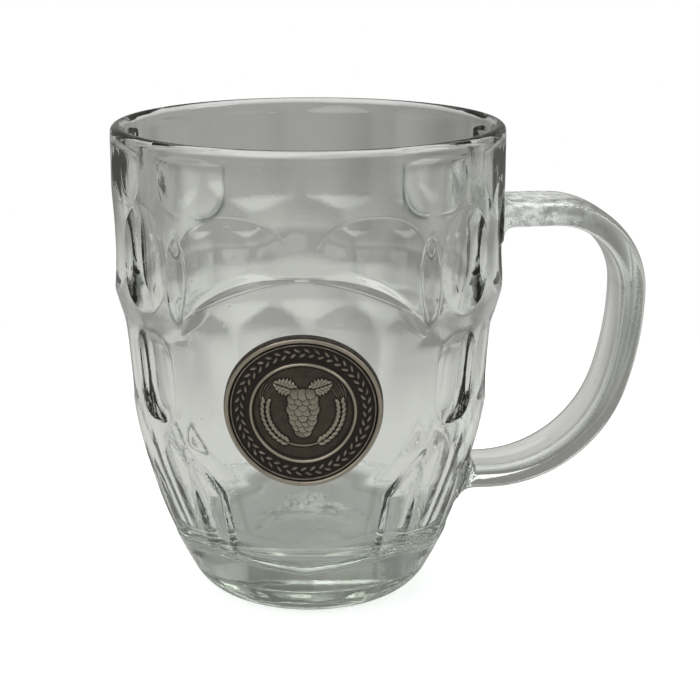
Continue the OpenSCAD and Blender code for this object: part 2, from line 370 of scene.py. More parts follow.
@dataclass(frozen=True)
class GlassFinish:
    """Pressed soda glass: clear, faintly grey-green, fire-polished but never quite flat.

    tint colours the surface and body the glass under it. Painted shade darkens the colour along the steep
    edges of the pressed pattern and over the heel. Heights of the bump and its zones along X and Z are in
    metres. A skin value belongs to the frosted, chilled skin of the handle's top bar.
    """

    tint: Colour = (0.985, 0.99, 0.975)
    body: Colour = (0.52, 0.615, 0.49)
    # Painted shade: colour of the dark lines along the steep edges of the pressed pattern.
    painted_line_shade: Colour = (0.22, 0.25, 0.22)
    # Painted shade: colour of the darkened band over the heel.
    painted_heel_shade: Colour = (0.60, 0.64, 0.59)
    skin_tint: Colour = (0.93, 0.94, 0.92)
    density: float = 10.0
    ior: float = 1.52
    roughness: float = 0.012
    skin_roughness: float = 0.45
    skin_share: float = 0.42
    skin_height: float = 0.00022
    wave_height: float = 0.00006
    ripple_height: float = 0.000010
    seed_height: float = 0.00004
    foot_height: float = 0.00005
    heel_height: float = 0.0003
    foot_z: tuple[float, float] = (0.0015, 0.003)
    heel_wave_z: tuple[float, float] = (0.004, 0.009)
    heel_low_z: tuple[float, float] = (0.0013, 0.003)
    heel_high_z: tuple[float, float] = (0.007, 0.012)
    skin_x: tuple[float, float] = (0.054, 0.078)
    skin_z: tuple[float, float] = (0.080, 0.090)
    shadow_share: float = 0.86
    rough_top_bar: bool = False
    lines: "MouldLines | None" = None

    def build(self, name: str) -> bpy.types.Material:
        """Makes the material.

        Long upright waves, small ripples and seeds from the mould go into the bump, with a ground foot and
        a wavy heel whose colour is darkened by painted shade. Light for the shadow rays passes nearly
        straight through, so the inside and the floor stay lit.

        Args:
            name: Name of the material.

        Returns:
            The material.
        """
        material = bpy.data.materials.new(name)
        board = Board(material)
        place = board.place()
        waves = board.noise(board.place((1.0, 1.0, 0.35)), 90.0, 2.0, 0.5)
        ripples = board.noise(place, 900.0, 3.0, 0.6)
        pits = board.add("ShaderNodeTexVoronoi", {}, {"Vector": place, "Scale": 260.0})
        sparse = board.noise(place, 60.0, 0.0, 0.5).ramp(0.56, 0.62)
        seeds = (1 - board.number(pits, "Distance").ramp(0.03, 0.11)) * sparse
        height = waves * self.wave_height + ripples * self.ripple_height - seeds * self.seed_height
        z = board.parts(place)[2]
        foot, heel = 1 - z.ramp(*self.foot_z), 1 - z.ramp(*self.heel_wave_z)
        height = height + board.noise(place, 1500.0, 2.0, 0.6) * foot * self.foot_height
        height = height + board.noise(place, 170.0, 1.0, 0.5) * heel * self.heel_height
        # Painted shade: the glass colour is darker in a band over the heel.
        dark = z.ramp(*self.heel_low_z) * (1 - z.ramp(*self.heel_high_z))
        tint = board.blend(dark, self.tint, self.painted_heel_shade)
        if self.rough_top_bar:
            height = height + board.noise(place, 650.0, 2.0, 0.55) * self.chill(board) * self.skin_height
        if self.lines:
            raised, shade = self.lines.build(board)
            height = height + raised
            # Painted shade: the glass colour is darkened along the steep edges of the pressed pattern.
            tint = board.blend(shade, tint, self.painted_line_shade)
        skin = {"IOR": self.ior, "Normal": board.bump(height)}
        sockets = {"Base Color": tint, "Roughness": self.roughness, "Transmission Weight": 1.0, **skin}
        glass = board.add("ShaderNodeBsdfPrincipled", {}, sockets)
        if self.rough_top_bar:
            sockets = {"Base Color": self.skin_tint, "Roughness": self.skin_roughness, **skin}
            frosted = board.add("ShaderNodeBsdfPrincipled", {}, sockets)
            glass = board.mixed(self.chill(board) * self.skin_share, glass, frosted)
        clear = board.add("ShaderNodeBsdfTransparent", {}, {"Color": self.tint})
        shadow = board.number(board.add("ShaderNodeLightPath", {}, {}), "Is Shadow Ray") * self.shadow_share
        mix = board.mixed(shadow, glass, clear)
        body = board.add("ShaderNodeVolumeAbsorption", {}, {"Color": self.body, "Density": self.density})
        board.add("ShaderNodeOutputMaterial", {}, {"Surface": mix.outputs[0], "Volume": body.outputs[0]})
        return material

    def chill(self, board: Board) -> Wire:
        """Share of frosted, chilled skin: patchy at the start of the top bar, fading out towards the bend.

        Args:
            board: Node tree that takes the nodes.

        Returns:
            The share from 0 to 1.
        """
        place = board.place()
        x, _, z = board.parts(place)
        patches = board.noise(place, 420.0, 3.0, 0.6).ramp(0.38, 0.62)
        return patches * (1 - x.ramp(*self.skin_x)) * z.ramp(*self.skin_z)


@dataclass(frozen=True)
class PewterFinish:
    """Antiqued cast pewter: black-brown in the hollows, warm grey where it is rubbed."""

    hollow: Colour = (0.018, 0.013, 0.009)
    middle: Colour = (0.072, 0.058, 0.041)
    rubbed: Colour = (0.37, 0.33, 0.262)
    grain_height: float = 0.00006
    cloud_height: float = 0.00008

    def build(self, name: str) -> bpy.types.Material:
        """Makes the material.

        The piece's own relief attribute, broken up by noise, leads from the oxide in the hollows to the
        rubbed metal on the ridges. Fine grain from the casting goes into the bump.

        Args:
            name: Name of the material.

        Returns:
            The material.
        """
        material = bpy.data.materials.new(name)
        board = Board(material)
        cloud = board.noise(board.place(), 420.0, 4.0, 0.6)
        grain = board.noise(board.place(), 2600.0, 3.0, 0.6)
        worn = (board.attribute("relief") + (cloud - 0.5) * 0.5 + (grain - 0.5) * 0.22).ramp(0.0, 1.0)
        stops = [(0.0, self.hollow), (0.45, self.middle), (1.0, self.rubbed)]
        ramp = board.add("ShaderNodeValToRGB", {"stops": stops}, {"Fac": worn})
        sockets = {
            "Base Color": ramp.outputs["Color"],
            "Metallic": 0.55 + worn * 0.4,
            "Roughness": 0.62 - worn * 0.22,
            "Normal": board.bump(grain * self.grain_height + cloud * self.cloud_height, 0.8),
        }
        metal = board.add("ShaderNodeBsdfPrincipled", {}, sockets)
        board.add("ShaderNodeOutputMaterial", {}, {"Surface": metal.outputs[0]})
        return material


@dataclass(frozen=True)
class AdhesiveFinish:
    """Cured grey bonding layer with a slightly uneven skin."""

    dark: Colour = (0.060, 0.060, 0.057)
    light: Colour = (0.105, 0.105, 0.098)
    lump_height: float = 0.0001

    def build(self, name: str) -> bpy.types.Material:
        """Makes the material, mottled by noise at the scale of a millimetre or two.

        Args:
            name: Name of the material.

        Returns:
            The material.
        """
        material = bpy.data.materials.new(name)
        board = Board(material)
        mottle = board.noise(board.place(), 700.0, 3.0, 0.6).ramp(0.3, 0.7)
        sockets = {
            "Base Color": board.blend(mottle, self.dark, self.light),
            "Roughness": 0.7 - mottle * 0.15,
            "Normal": board.bump(mottle * self.lump_height, 0.5),
        }
        pad = board.add("ShaderNodeBsdfPrincipled", {}, sockets)
        board.add("ShaderNodeOutputMaterial", {}, {"Surface": pad.outputs[0]})
        return material


@dataclass
class Panel:
    """Front panel of the vessel: an upright drum face, flatter than the wall and leaning outwards.

    Its sides run through the heights edge_z at the half widths edge_u, in degrees, and its arch stands
    over them. One degree of the wall is about edge_pace long. Below the fade its face is cut no deeper
    than foot_depth. arch_up, arch_down and arch_edge part the two edges of the arch's bevel.
    """

    turn: float = -8.0
    middle_z: float = 60.0
    depth: float = 1.6
    lean: float = 6.6
    face_r: float = 54.0
    arch_r: float = 41.0
    arch_top: float = 91.5
    edge_z: tuple[float, ...] = (19.0, 36.0, 43.5, 49.0, 55.0, 62.0, 69.0, 74.0, 79.5, 84.0)
    edge_u: tuple[float, ...] = (29.5, 29.5, 38.5, 42.5, 45.5, 45.5, 43.0, 38.5, 33.5, 31.0)
    edge_pace: float = 0.8
    edge_slope: float = 0.55
    foot_depth: float = 1.05
    foot_fade: tuple[float, float] = (38.0, 50.0)
    open_depth: float = 0.4
    open_fade: tuple[float, float] = (44.0, 50.0)
    bevel_depth: float = 0.95
    arch_start: float = 1.2
    arch_span: float = 32.5
    arch_swell: float = 0.8
    arch_up: float = 0.8
    arch_down: float = 0.1
    arch_edge: float = 0.12

    def place(self, local: np.ndarray, wall_r: float) -> np.ndarray:
        """Carries points from the panel's frame to the mug's.

        The frame leans about X, moves out to the panel's face and turns about Z.

        Args:
            local: Points with x across, -y outwards and z up the panel.
            wall_r: Radius of the vessel at the middle of the panel, uncut.

        Returns:
            The points in the mug's frame.
        """
        lean, turn = math.radians(self.lean), math.radians(self.turn)
        x, y, z = np.moveaxis(local, -1, 0)
        y, z = y * math.cos(lean) - z * math.sin(lean), y * math.sin(lean) + z * math.cos(lean)
        y, z = y - (wall_r - self.depth), z + self.middle_z
        x, y = x * math.cos(turn) - y * math.sin(turn), x * math.sin(turn) + y * math.cos(turn)
        return np.stack([x, y, z], axis=-1)

    def face(self, across: np.ndarray, up: np.ndarray, proud: np.ndarray, wall_r: float) -> np.ndarray:
        """Points on a drum that stands proud of the panel's face by some amount.

        A point lies on the circle of the drum's radius plus that amount, at its place across.

        Args:
            across: Place across the panel.
            up: Place up the panel.
            proud: Distance from the panel's face.
            wall_r: Radius of the vessel at the middle of the panel, uncut.

        Returns:
            The points in the mug's frame.
        """
        big = self.face_r + proud
        y = self.face_r - np.sqrt(np.maximum(big * big - across * across, 0.0))
        return self.place(stacked(across, y, up), wall_r)

    def radius_at(self, angle: np.ndarray, z: np.ndarray, wall_r: float) -> np.ndarray:
        """Distance from the mug's axis to the drum face, at an angle from the front and a height.

        In the plane at height z the leaning drum is close to a circle about a centre that moves with the
        height, so the distance is the far root of the circle's equation along the ray.

        Args:
            angle: Angle from the middle of the front, in degrees.
            z: Height.
            wall_r: Radius of the vessel at the middle of the panel, uncut.

        Returns:
            The distance.
        """
        lean = math.radians(self.lean)
        front = (wall_r - self.depth) + (z - self.middle_z) * math.tan(lean)
        back = front - self.face_r
        a = np.radians(angle)
        root = self.face_r**2 - (back * np.sin(a)) ** 2
        return back * np.cos(a) + np.sqrt(np.maximum(root, 0.0))


@dataclass(frozen=True)
class Ring:
    """One ring of hollows, set out in columns from its first one round to the back, alike on both sides.

    first, half_u and pitch are degrees. A hollow reaches up and down from middle_z. square_u and square_z
    say how square its outline is, steep how flat its floor is, and last is the number of its last column.
    """

    first: float
    middle_z: float
    half_u: float
    up: float
    down: float
    depth: float
    square_u: float
    square_z: float
    steep: float
    last: int
    pitch: float = 32.0

    def field(self, u: np.ndarray, z: np.ndarray) -> np.ndarray:
        """Depth of the ring, negative outside its hollows.

        The two offsets from the nearest column's middle, as shares of its half sizes, are raised to their
        own powers and added. A low power across makes a pointed oval. The depth falls from the middle by
        a power of the sum, so a high one makes a flat floor with steep sides.

        Args:
            u: Angle from the middle of the front, in degrees.
            z: Height.

        Returns:
            The depth.
        """
        du = np.abs(off_column(np.abs(u), self.first, self.pitch, self.last)) / self.half_u
        dz = z - self.middle_z
        dz = np.abs(dz) / np.where(dz > 0, self.up, self.down)
        return self.depth * (1.0 - (du**self.square_u + dz**self.square_z) ** self.steep)


@dataclass(frozen=True)
class Facets:
    """One ring of flat upright facets with bevelled ends, alike on both sides.

    A facet reaches from low to high, where its ends slope by low_slope and high_slope. last is the number
    of its last column. Past the clear angle from a column's middle the wall's arc counts as at that angle.
    """

    first: float
    low: float
    high: float
    depth: float
    low_slope: float
    high_slope: float
    last: int
    wall_r: float = 49.0
    half_w: float = 30.0
    soft: float = 0.03
    side_slope: float = 1.1
    end_soft: float = 0.03
    side_soft: float = 0.05
    clear: float = 60.0
    pitch: float = 32.0

    def field(self, u: np.ndarray, z: np.ndarray) -> np.ndarray:
        """Depth of the ring, negative outside its facets.

        The depth is that of a flat floor or of the sloping plane at either end, whichever is less, less
        the height of the round wall's arc over its chord, x squared over twice the radius. A steep side
        wall stands half a width from the middle.

        Args:
            u: Angle from the middle of the front, in degrees.
            z: Height.

        Returns:
            The depth.
        """
        off = off_column(np.abs(u), self.first, self.pitch, self.last)
        across = np.clip(off, -self.clear, self.clear)
        x = self.wall_r * np.sin(np.radians(across))
        ends = soft_min((z - self.low) * self.low_slope, (self.high - z) * self.high_slope, self.end_soft)
        floor = soft_min(ends, np.full_like(ends, self.depth), self.soft) - x * x / (2 * self.wall_r)
        return soft_min(floor, (self.half_w - np.abs(x)) * self.side_slope, self.side_soft)


@dataclass(frozen=True)
class NarrowFlutes:
    """Narrow pointed flutes between the broad ones, in columns on both sides.

    The first column is broader and its tip leans away from the front. The back has columns of its own.
    """

    first: float = 36.0
    first_half_u: float = 6.4
    half_u: float = 4.6
    depth: float = 0.8
    power: float = 1.8
    tip_z: float = 35.0
    tip_rise: float = 8.5
    lean: float = 3.0
    lean_foot: float = 0.6
    back_from: float = 108.0
    back_first: float = 116.0
    pitch: float = 32.0

    def field(self, turn: np.ndarray, z: np.ndarray) -> np.ndarray:
        """Depth of the flutes, negative outside them.

        The depth falls from a column's middle by a power of the offset, and above the start of the tip by
        the rise too, which closes it to a point.

        Args:
            turn: Angle from the middle of the front, in degrees, without its sign.
            z: Height.

        Returns:
            The depth.
        """
        rise = (z - self.tip_z) / self.tip_rise
        front = turn < self.back_from
        first = np.where(front, self.first, self.back_first)
        leaning = front & (turn - first < self.pitch / 2)
        slide = np.where(leaning, self.lean * np.clip(rise, 0.0, 1.0) - self.lean_foot, 0.0)
        off = off_column(turn, first, self.pitch, 2) - slide
        half = np.where(leaning, self.first_half_u, self.half_u)
        return self.depth * (1.0 - np.abs(off / half) ** self.power - np.clip(rise, 0.0, None))


@dataclass
class Vessel:
    """Pressed glass vessel with its thick base, rows of dimples, flutes and front panel.

    A turn, a span or a half_u is in degrees from the middle of the front. The rows at the front and at the
    back are set out apart, as each is seen. Seams and creases are the rounding where two hollows meet.
    """

    panel: Panel
    height: float = 121.0
    rim_r: float = 49.0
    rim_wall: float = 3.4
    side_wall: float = 4.6
    base_t: float = 17.0
    shoulder_z: float = 81.0
    waist_z: float = 73.0
    waist_step: float = 2.3
    belly_z: float = 51.0
    belly_step: float = 1.7
    flank_r: float = 116.0
    heel_z: float = 8.0
    heel_ring_r: float = 31.2
    heel_r: float = 14.0
    foot_r: float = 21.5
    punt_r: float = 17.0
    punt_depth: float = 1.2
    floor_r: float = 25.5
    well_r: float = 31.0
    well_rise: float = 6.5
    well_curve_r: float = 7.5
    inner_flank_r: float = 88.0
    inner_straight_z: float = 100.0
    fine_seam: float = 0.02
    seam: float = 0.04
    flute_seam: float = 0.06
    crease: float = 0.08
    crease_sunk: float = 0.6
    pair_foot_slope: float = 0.8
    ledge_slope: float = 0.9
    ledge_seam: float = 0.1
    pattern_z: tuple[float, float] = (4.0, 12.0)
    plain_top: tuple[float, float] = (3.2, 2.2)
    plain_round_handle: float = 3.0
    top_turn: float = 3.6
    back_turn: float = 6.6
    tall_turn: float = 2.6
    pair_fade: tuple[float, float] = (1.0, 15.0)
    arch_wall_r: float = 47.0
    ledge_z: float = 15.4
    ledge_swing: float = 3.6
    ledge_span: float = 36.0
    star_depth: float = 0.12
    star_points: int = 5
    eye_depth: float = 0.5
    eye_turn: float = 24.0
    eye_z: float = 5.2
    eye_half_u: float = 11.0
    eye_half_z: float = 2.4
    front_span: float = 45.0
    side_span: float = 104.0
    front_columns: int = 122
    side_columns: int = 71
    back_columns: int = 98
    heel_steps: int = 24
    flank_steps: int = 48
    top_front: Facets = Facets(36.0, 101.0, 118.4, 1.2, 0.085, 0.7, 2, half_w=9.9)
    top_back: Facets = Facets(133.4, 87.4, 118.4, 0.96, 0.26, 0.7, 1)
    pair_ring: Ring = Ring(19.4, 92.0, 17.2, 13.2, 13.2, 1.4, 2.4, 2.4, 1.0, 0)
    middle_front: Ring = Ring(52.0, 91.6, 11.0, 14.0, 12.4, 1.9, 1.9, 2.3, 1.2, 1)
    middle_back: Facets = Facets(116.0, 62.0, 98.0, 1.2, 0.26, 0.05, 2, 47.0)
    low_front: Ring = Ring(52.4, 63.0, 9.8, 11.6, 11.4, 1.7, 3.2, 3.2, 1.4, 1)
    low_back: Facets = Facets(132.0, 12.0, 65.4, 1.6, 0.25, 0.25, 1, 42.0, soft=0.7)
    flute_front: Facets = Facets(52.0, 6.0, 49.0, 1.0, 0.12, 0.075, 1, 38.0)
    narrow: NarrowFlutes = NarrowFlutes()

    @property
    def belly_r(self) -> float:
        """Radius at the foot of the waist band."""
        return self.rim_r - self.waist_step - self.belly_step

    @property
    def rim_z(self) -> float:
        """Height of the middle of the rim's half circle."""
        return self.height - self.rim_wall / 2

    def outer_profile(self) -> np.ndarray:
        """Outside of the vessel from the foot to the start of the rim, before anything is cut.

        Returns:
            Points of radius and height, from the foot up.
        """
        heel_top = (self.heel_ring_r, self.heel_z)
        heel = arc_between((self.foot_r, 0.0), heel_top, self.heel_r, self.heel_steps)
        flank = arc_between(heel_top, (self.belly_r, self.belly_z), self.flank_r, self.flank_steps)
        waist = (self.rim_r - self.waist_step, self.waist_z)
        shoulder = (self.rim_r, self.shoulder_z)
        return np.concatenate([heel, flank[1:], [waist, shoulder, (self.rim_r, self.rim_z)]])

    def wall_at(self, z: np.ndarray | float) -> np.ndarray:
        """Uncut outside radius at a height, with the corners of the profile rounded.

        The profile is read at five heights around z and averaged, which rounds a corner over 3 mm.

        Args:
            z: Height.

        Returns:
            The radius.
        """
        radii, heights = self.outer_profile().T
        z = np.asarray(z, float)
        reads = [np.interp(z + step, heights, radii) for step in (-1.5, -0.75, 0, 0.75, 1.5)]
        return np.where(z < self.heel_z, reads[2], sum(reads) / len(reads))

    def panel_wall(self) -> float:
        """Uncut radius at the middle of the panel, along straight parts of the profile."""
        share = (self.panel.middle_z - self.belly_z) / (self.waist_z - self.belly_z)
        return self.belly_r + self.belly_step * share

    def arch(self, u: np.ndarray) -> tuple[np.ndarray, np.ndarray]:
        """Heights of the upper and lower edge of the bevel over the panel.

        Both follow one circle through the top of the arch. A half sine wave parts them, so the bevel is
        a blade on each side that closes at the middle and at the panel's shoulder.

        Args:
            u: Angle from the middle of the front, in degrees.

        Returns:
            The upper and the lower height.
        """
        panel = self.panel
        across = np.abs(np.radians(u)) * self.arch_wall_r
        r = panel.arch_r
        line = panel.arch_top - r + np.sqrt(np.maximum(r * r - across * across, 0.0))
        share = np.clip((np.abs(u) - panel.arch_start) / panel.arch_span, 0.0, 1.0)
        lens = np.sin(np.pi * share) ** panel.arch_swell
        upper = line + panel.arch_up * lens + panel.arch_edge
        return upper, line - panel.arch_down * lens - panel.arch_edge

    def panel_field(self, u: np.ndarray, z: np.ndarray) -> np.ndarray:
        """Depth of the front panel: the drum face, held in by its arch, its sides and the ledge below.

        Args:
            u: Angle from the middle of the front, in degrees.
            z: Height.

        Returns:
            The depth, negative outside the panel.
        """
        panel = self.panel
        drum = self.wall_at(z) - panel.radius_at(u, z, self.panel_wall())
        foot = panel.foot_depth * (1 - ease(z, *panel.foot_fade))
        foot = foot - panel.open_depth * ease(z, *panel.open_fade)
        upper, lower = self.arch(u)
        bevel = (upper - z) / (upper - lower) * panel.bevel_depth
        side = (np.interp(z, panel.edge_z, panel.edge_u) - np.abs(u)) * panel.edge_pace * panel.edge_slope
        side = np.where(z > panel.edge_z[-1], OPEN, side)
        return soft_min(soft_min(soft_max(drum, foot, 0.2), bevel, 0.1), side, 0.12)

    def ledge(self, u: np.ndarray) -> np.ndarray:
        """Height of the ledge over the base: a zigzag that is lowest at the front corner."""
        swing = np.abs(np.abs(u) / self.ledge_span % 2.0 - 1.0)
        return self.ledge_z + self.ledge_swing * (1.0 - swing)

    def cuts(self, u: np.ndarray, z: np.ndarray) -> np.ndarray:
        """Depth of all that is pressed into the outside, at an angle from the front and a height.

        Each ring of dimples is a field that repeats by columns. The fields are joined by a soft maximum,
        which leaves a ridge where two neighbours meet.

        Args:
            u: Angle from the middle of the front, in degrees.
            z: Height.

        Returns:
            The depth, at least about zero.
        """
        turn = np.abs(u)
        sunk = self.rim_r - self.wall_at(z)
        front = self.top_front.field(signed(u - self.top_turn), z)
        back = self.top_back.field(signed(u - self.back_turn), z)
        top = soft_max(front, back, self.fine_seam) - sunk
        pair = self.pair_ring.field(u, z) * ease(turn, *self.pair_fade) - sunk
        pair = soft_min(pair, (z - self.arch(u)[0]) * self.pair_foot_slope, self.crease)
        middle = self.middle_front.field(u, z) - sunk
        tall = self.low_back.field(signed(u - self.tall_turn), z)
        back = soft_max(self.middle_back.field(u, z), tall, self.seam)
        low = soft_max(self.low_front.field(u, z), back, self.seam)
        flutes = soft_max(self.flute_front.field(u, z), self.narrow.field(turn, z), self.flute_seam)
        lower = soft_max(flutes, self.panel_field(u, z), self.flute_seam)
        lower = soft_min(lower, (z - self.ledge(u)) * self.ledge_slope, self.ledge_seam)
        field = np.zeros_like(lower)
        for ring in (top, pair, middle, low, lower):
            field = soft_max(field, ring, self.crease)
        start, end = (self.height - below for below in self.plain_top)
        fade = ease(z, *self.pattern_z) * (1.0 - ease(z, start, end))
        return (field - self.crease * self.crease_sunk) * fade

    def plain_at(self, azimuth: np.ndarray, z: np.ndarray, handle: "Handle") -> np.ndarray:
        """Share of the pressed pattern: none under the two joints of the handle, all of it away from them.

        Args:
            azimuth: Angle from +X, in radians.
            z: Height.
            handle: Handle that meets the wall.

        Returns:
            The share from 0 to 1.
        """
        share = np.ones_like(z)
        for middle_z, thick in ((handle.top_z, handle.top_t), (handle.low_z, handle.low_t)):
            across = np.abs(self.rim_r * np.sin(azimuth)) - handle.width / 2
            up = np.abs(z - middle_z) - thick / 2
            away = np.hypot(np.maximum(across, 0.0), np.maximum(up, 0.0))
            plain = ease(away, handle.fillet, handle.fillet + self.plain_round_handle)
            share = np.minimum(share, np.where(np.cos(azimuth) > 0.5, plain, 1.0))
        return share

    def columns_round(self) -> np.ndarray:
        """Angles of the grid's columns, closest at the front, wider at the sides and widest at the back.

        Returns:
            The angles from the middle of the front, in degrees.
        """
        front = np.linspace(-self.front_span, self.front_span, self.front_columns)
        side = np.linspace(self.front_span, self.side_span, self.side_columns + 1)[1:]
        back = np.linspace(self.side_span, 360.0 - self.side_span, self.back_columns + 2)[1:-1]
        return np.concatenate([front, side, back, 360.0 - side[::-1]])

    def rows_up(self) -> np.ndarray:
        """Heights of the grid's rows up the wall, closer where the arch and its dimples are."""
        bands = (
            (self.heel_z + 0.6, 14.0, 0.8),
            (14.0, 21.0, 0.38),
            (21.0, 44.0, 0.82),
            (44.0, 76.0, 0.74),
            (76.0, 97.0, 0.43),
            (97.0, self.rim_z - 0.2, 0.58),
        )
        return np.concatenate([np.arange(*band) for band in bands])

    def inner_profile(self) -> np.ndarray:
        """Inside of the vessel from below the rim to the middle of its floor, with its corners rounded.

        Returns:
            Points of radius and height, from the rim down.
        """
        well_top = (self.well_r, self.base_t + self.well_rise)
        belly = (self.belly_r - self.side_wall, self.belly_z)
        flank = arc_between(well_top, belly, self.inner_flank_r, 24)[::-1]
        well = arc_between((self.floor_r, self.base_t), well_top, self.well_curve_r, 10)[::-1]
        start = (self.rim_r - self.rim_wall, self.rim_z - 1.0)
        straight = (self.rim_r - self.side_wall + 0.1, self.inner_straight_z)
        path = np.concatenate([[start, straight], flank, well[1:], [(0.6, self.base_t)]])
        return resample(self.rounded(path), 4.2)

    def punt(self, u_line: np.ndarray) -> np.ndarray:
        """Rows of the hollow under the foot: a shallow dome with the points of a star round its middle.

        The dome's height is one less the squared share of the radius, to the power 1.5. The star is a sine
        of that share times a cosine round the axis.

        Args:
            u_line: Angles of the grid's columns, in degrees.

        Returns:
            Rows of angle, radius and height, one point per column.
        """
        share = np.linspace(0.03, 1.0, 12)[:, None]
        rows = stacked(u_line, self.punt_r * share, self.punt_depth * (1 - share**2) ** 1.5)
        star = np.sin(np.pi * share) * (1 + np.cos(np.radians(self.star_points * u_line))) / 2
        rows[..., 2] += self.star_depth * star
        return rows

    def heel(self, u_line: np.ndarray) -> np.ndarray:
        """Rows of the heel from the foot up, with a soft hollow on each side of the front.

        A hollow falls off as the exponential of minus the squared distance in angle and in height.

        Args:
            u_line: Angles of the grid's columns, in degrees.

        Returns:
            Rows of angle, radius and height, one point per column.
        """
        path = resample(self.outer_profile()[: self.heel_steps + 2], 0.75)
        rows = stacked(u_line, path[:, :1], path[:, 1:])
        across = (np.abs(signed(u_line)) - self.eye_turn) / self.eye_half_u
        up = (path[:, 1:] - self.eye_z) / self.eye_half_z
        rows[..., 1] -= self.eye_depth * np.exp(-(across**2 + up**2))
        return rows

    def wall(self, u_line: np.ndarray, handle: "Handle") -> np.ndarray:
        """Rows of the outside wall with all that is pressed into it.

        The radius is the wall's own, less the depth of the cuts times the share of pattern.

        Args:
            u_line: Angles of the grid's columns, in degrees.
            handle: Handle that is fused to the wall.

        Returns:
            Rows of angle, radius and height, one point per column.
        """
        u, z = np.meshgrid(u_line, self.rows_up())
        azimuth = np.radians(u + self.panel.turn - 90.0)
        r = self.wall_at(z) - self.cuts(signed(u), z) * self.plain_at(azimuth, z, handle)
        return np.stack([u, r, z], axis=-1)

    def rim(self, u_line: np.ndarray) -> np.ndarray:
        """Rows over the rim, a half circle from the outside to the inside.

        Args:
            u_line: Angles of the grid's columns, in degrees.

        Returns:
            Rows of angle, radius and height, one point per column.
        """
        over = np.radians(np.linspace(0.0, 180.0, 15))[:, None]
        half = self.rim_wall / 2
        return stacked(u_line, self.rim_r - half + half * np.cos(over), self.rim_z + half * np.sin(over))

    def inside(self, u_line: np.ndarray) -> np.ndarray:
        """Rows of the inside wall, which follows the step of the waist beside the front panel.

        The step is read between a few heights, and comes in by the smooth step of the angle.

        Args:
            u_line: Angles of the grid's columns, in degrees.

        Returns:
            Rows of angle, radius and height, one point per column.
        """
        path = self.inner_profile()
        rows = stacked(u_line, path[:, :1], path[:, 1:])
        heights = [70.0, self.waist_z, 82.5, self.inner_straight_z]
        step = np.interp(path[:, 1:], heights, [0.0, -0.14, 0.86, 0.0])
        rows[..., 1] += step * ease(np.abs(signed(u_line)), 30.0, 42.0)
        return rows

    def build(self, handle: "Handle", finish: bpy.types.Material) -> bpy.types.Object:
        """Makes the vessel as one closed skin, from the punt's middle out, up, over the rim and down inside.

        Each row holds the angle from the front, the radius and the height of its points.

        Args:
            handle: Handle that is fused to the wall.
            finish: Glass material.

        Returns:
            The piece.
        """
        u_line = self.columns_round()
        punt, heel, wall = self.punt(u_line), self.heel(u_line), self.wall(u_line, handle)
        grid = np.concatenate([punt, heel, wall, self.rim(u_line), self.inside(u_line)])
        u, r, z = np.moveaxis(grid, -1, 0)
        angle = np.radians(u + self.panel.turn)
        points = np.stack([r * np.sin(angle), -r * np.cos(angle), z], axis=-1)
        piece = GridMesh(points).build("glass_vessel")
        marks = np.zeros(grid.shape[:2])
        first = len(punt) + len(heel)
        marks[first : first + len(wall)] = 1.0
        keep_per_point(piece, "outside", np.append(marks.reshape(-1), [0.0, 0.0]))
        return dress(piece, finish, "glass_body")

    @staticmethod
    def rounded(path: np.ndarray) -> np.ndarray:
        """Path with its corners rounded by averaging close points along it.

        Args:
            path: Points of radius and height.

        Returns:
            The points of the rounded path.
        """
        dense = resample(path, 0.5)
        kernel = np.ones(9) / 9
        smooth = np.stack([np.convolve(dense[:, i], kernel, mode="valid") for i in (0, 1)], axis=-1)
        return np.concatenate([dense[:4], smooth, dense[-4:]])


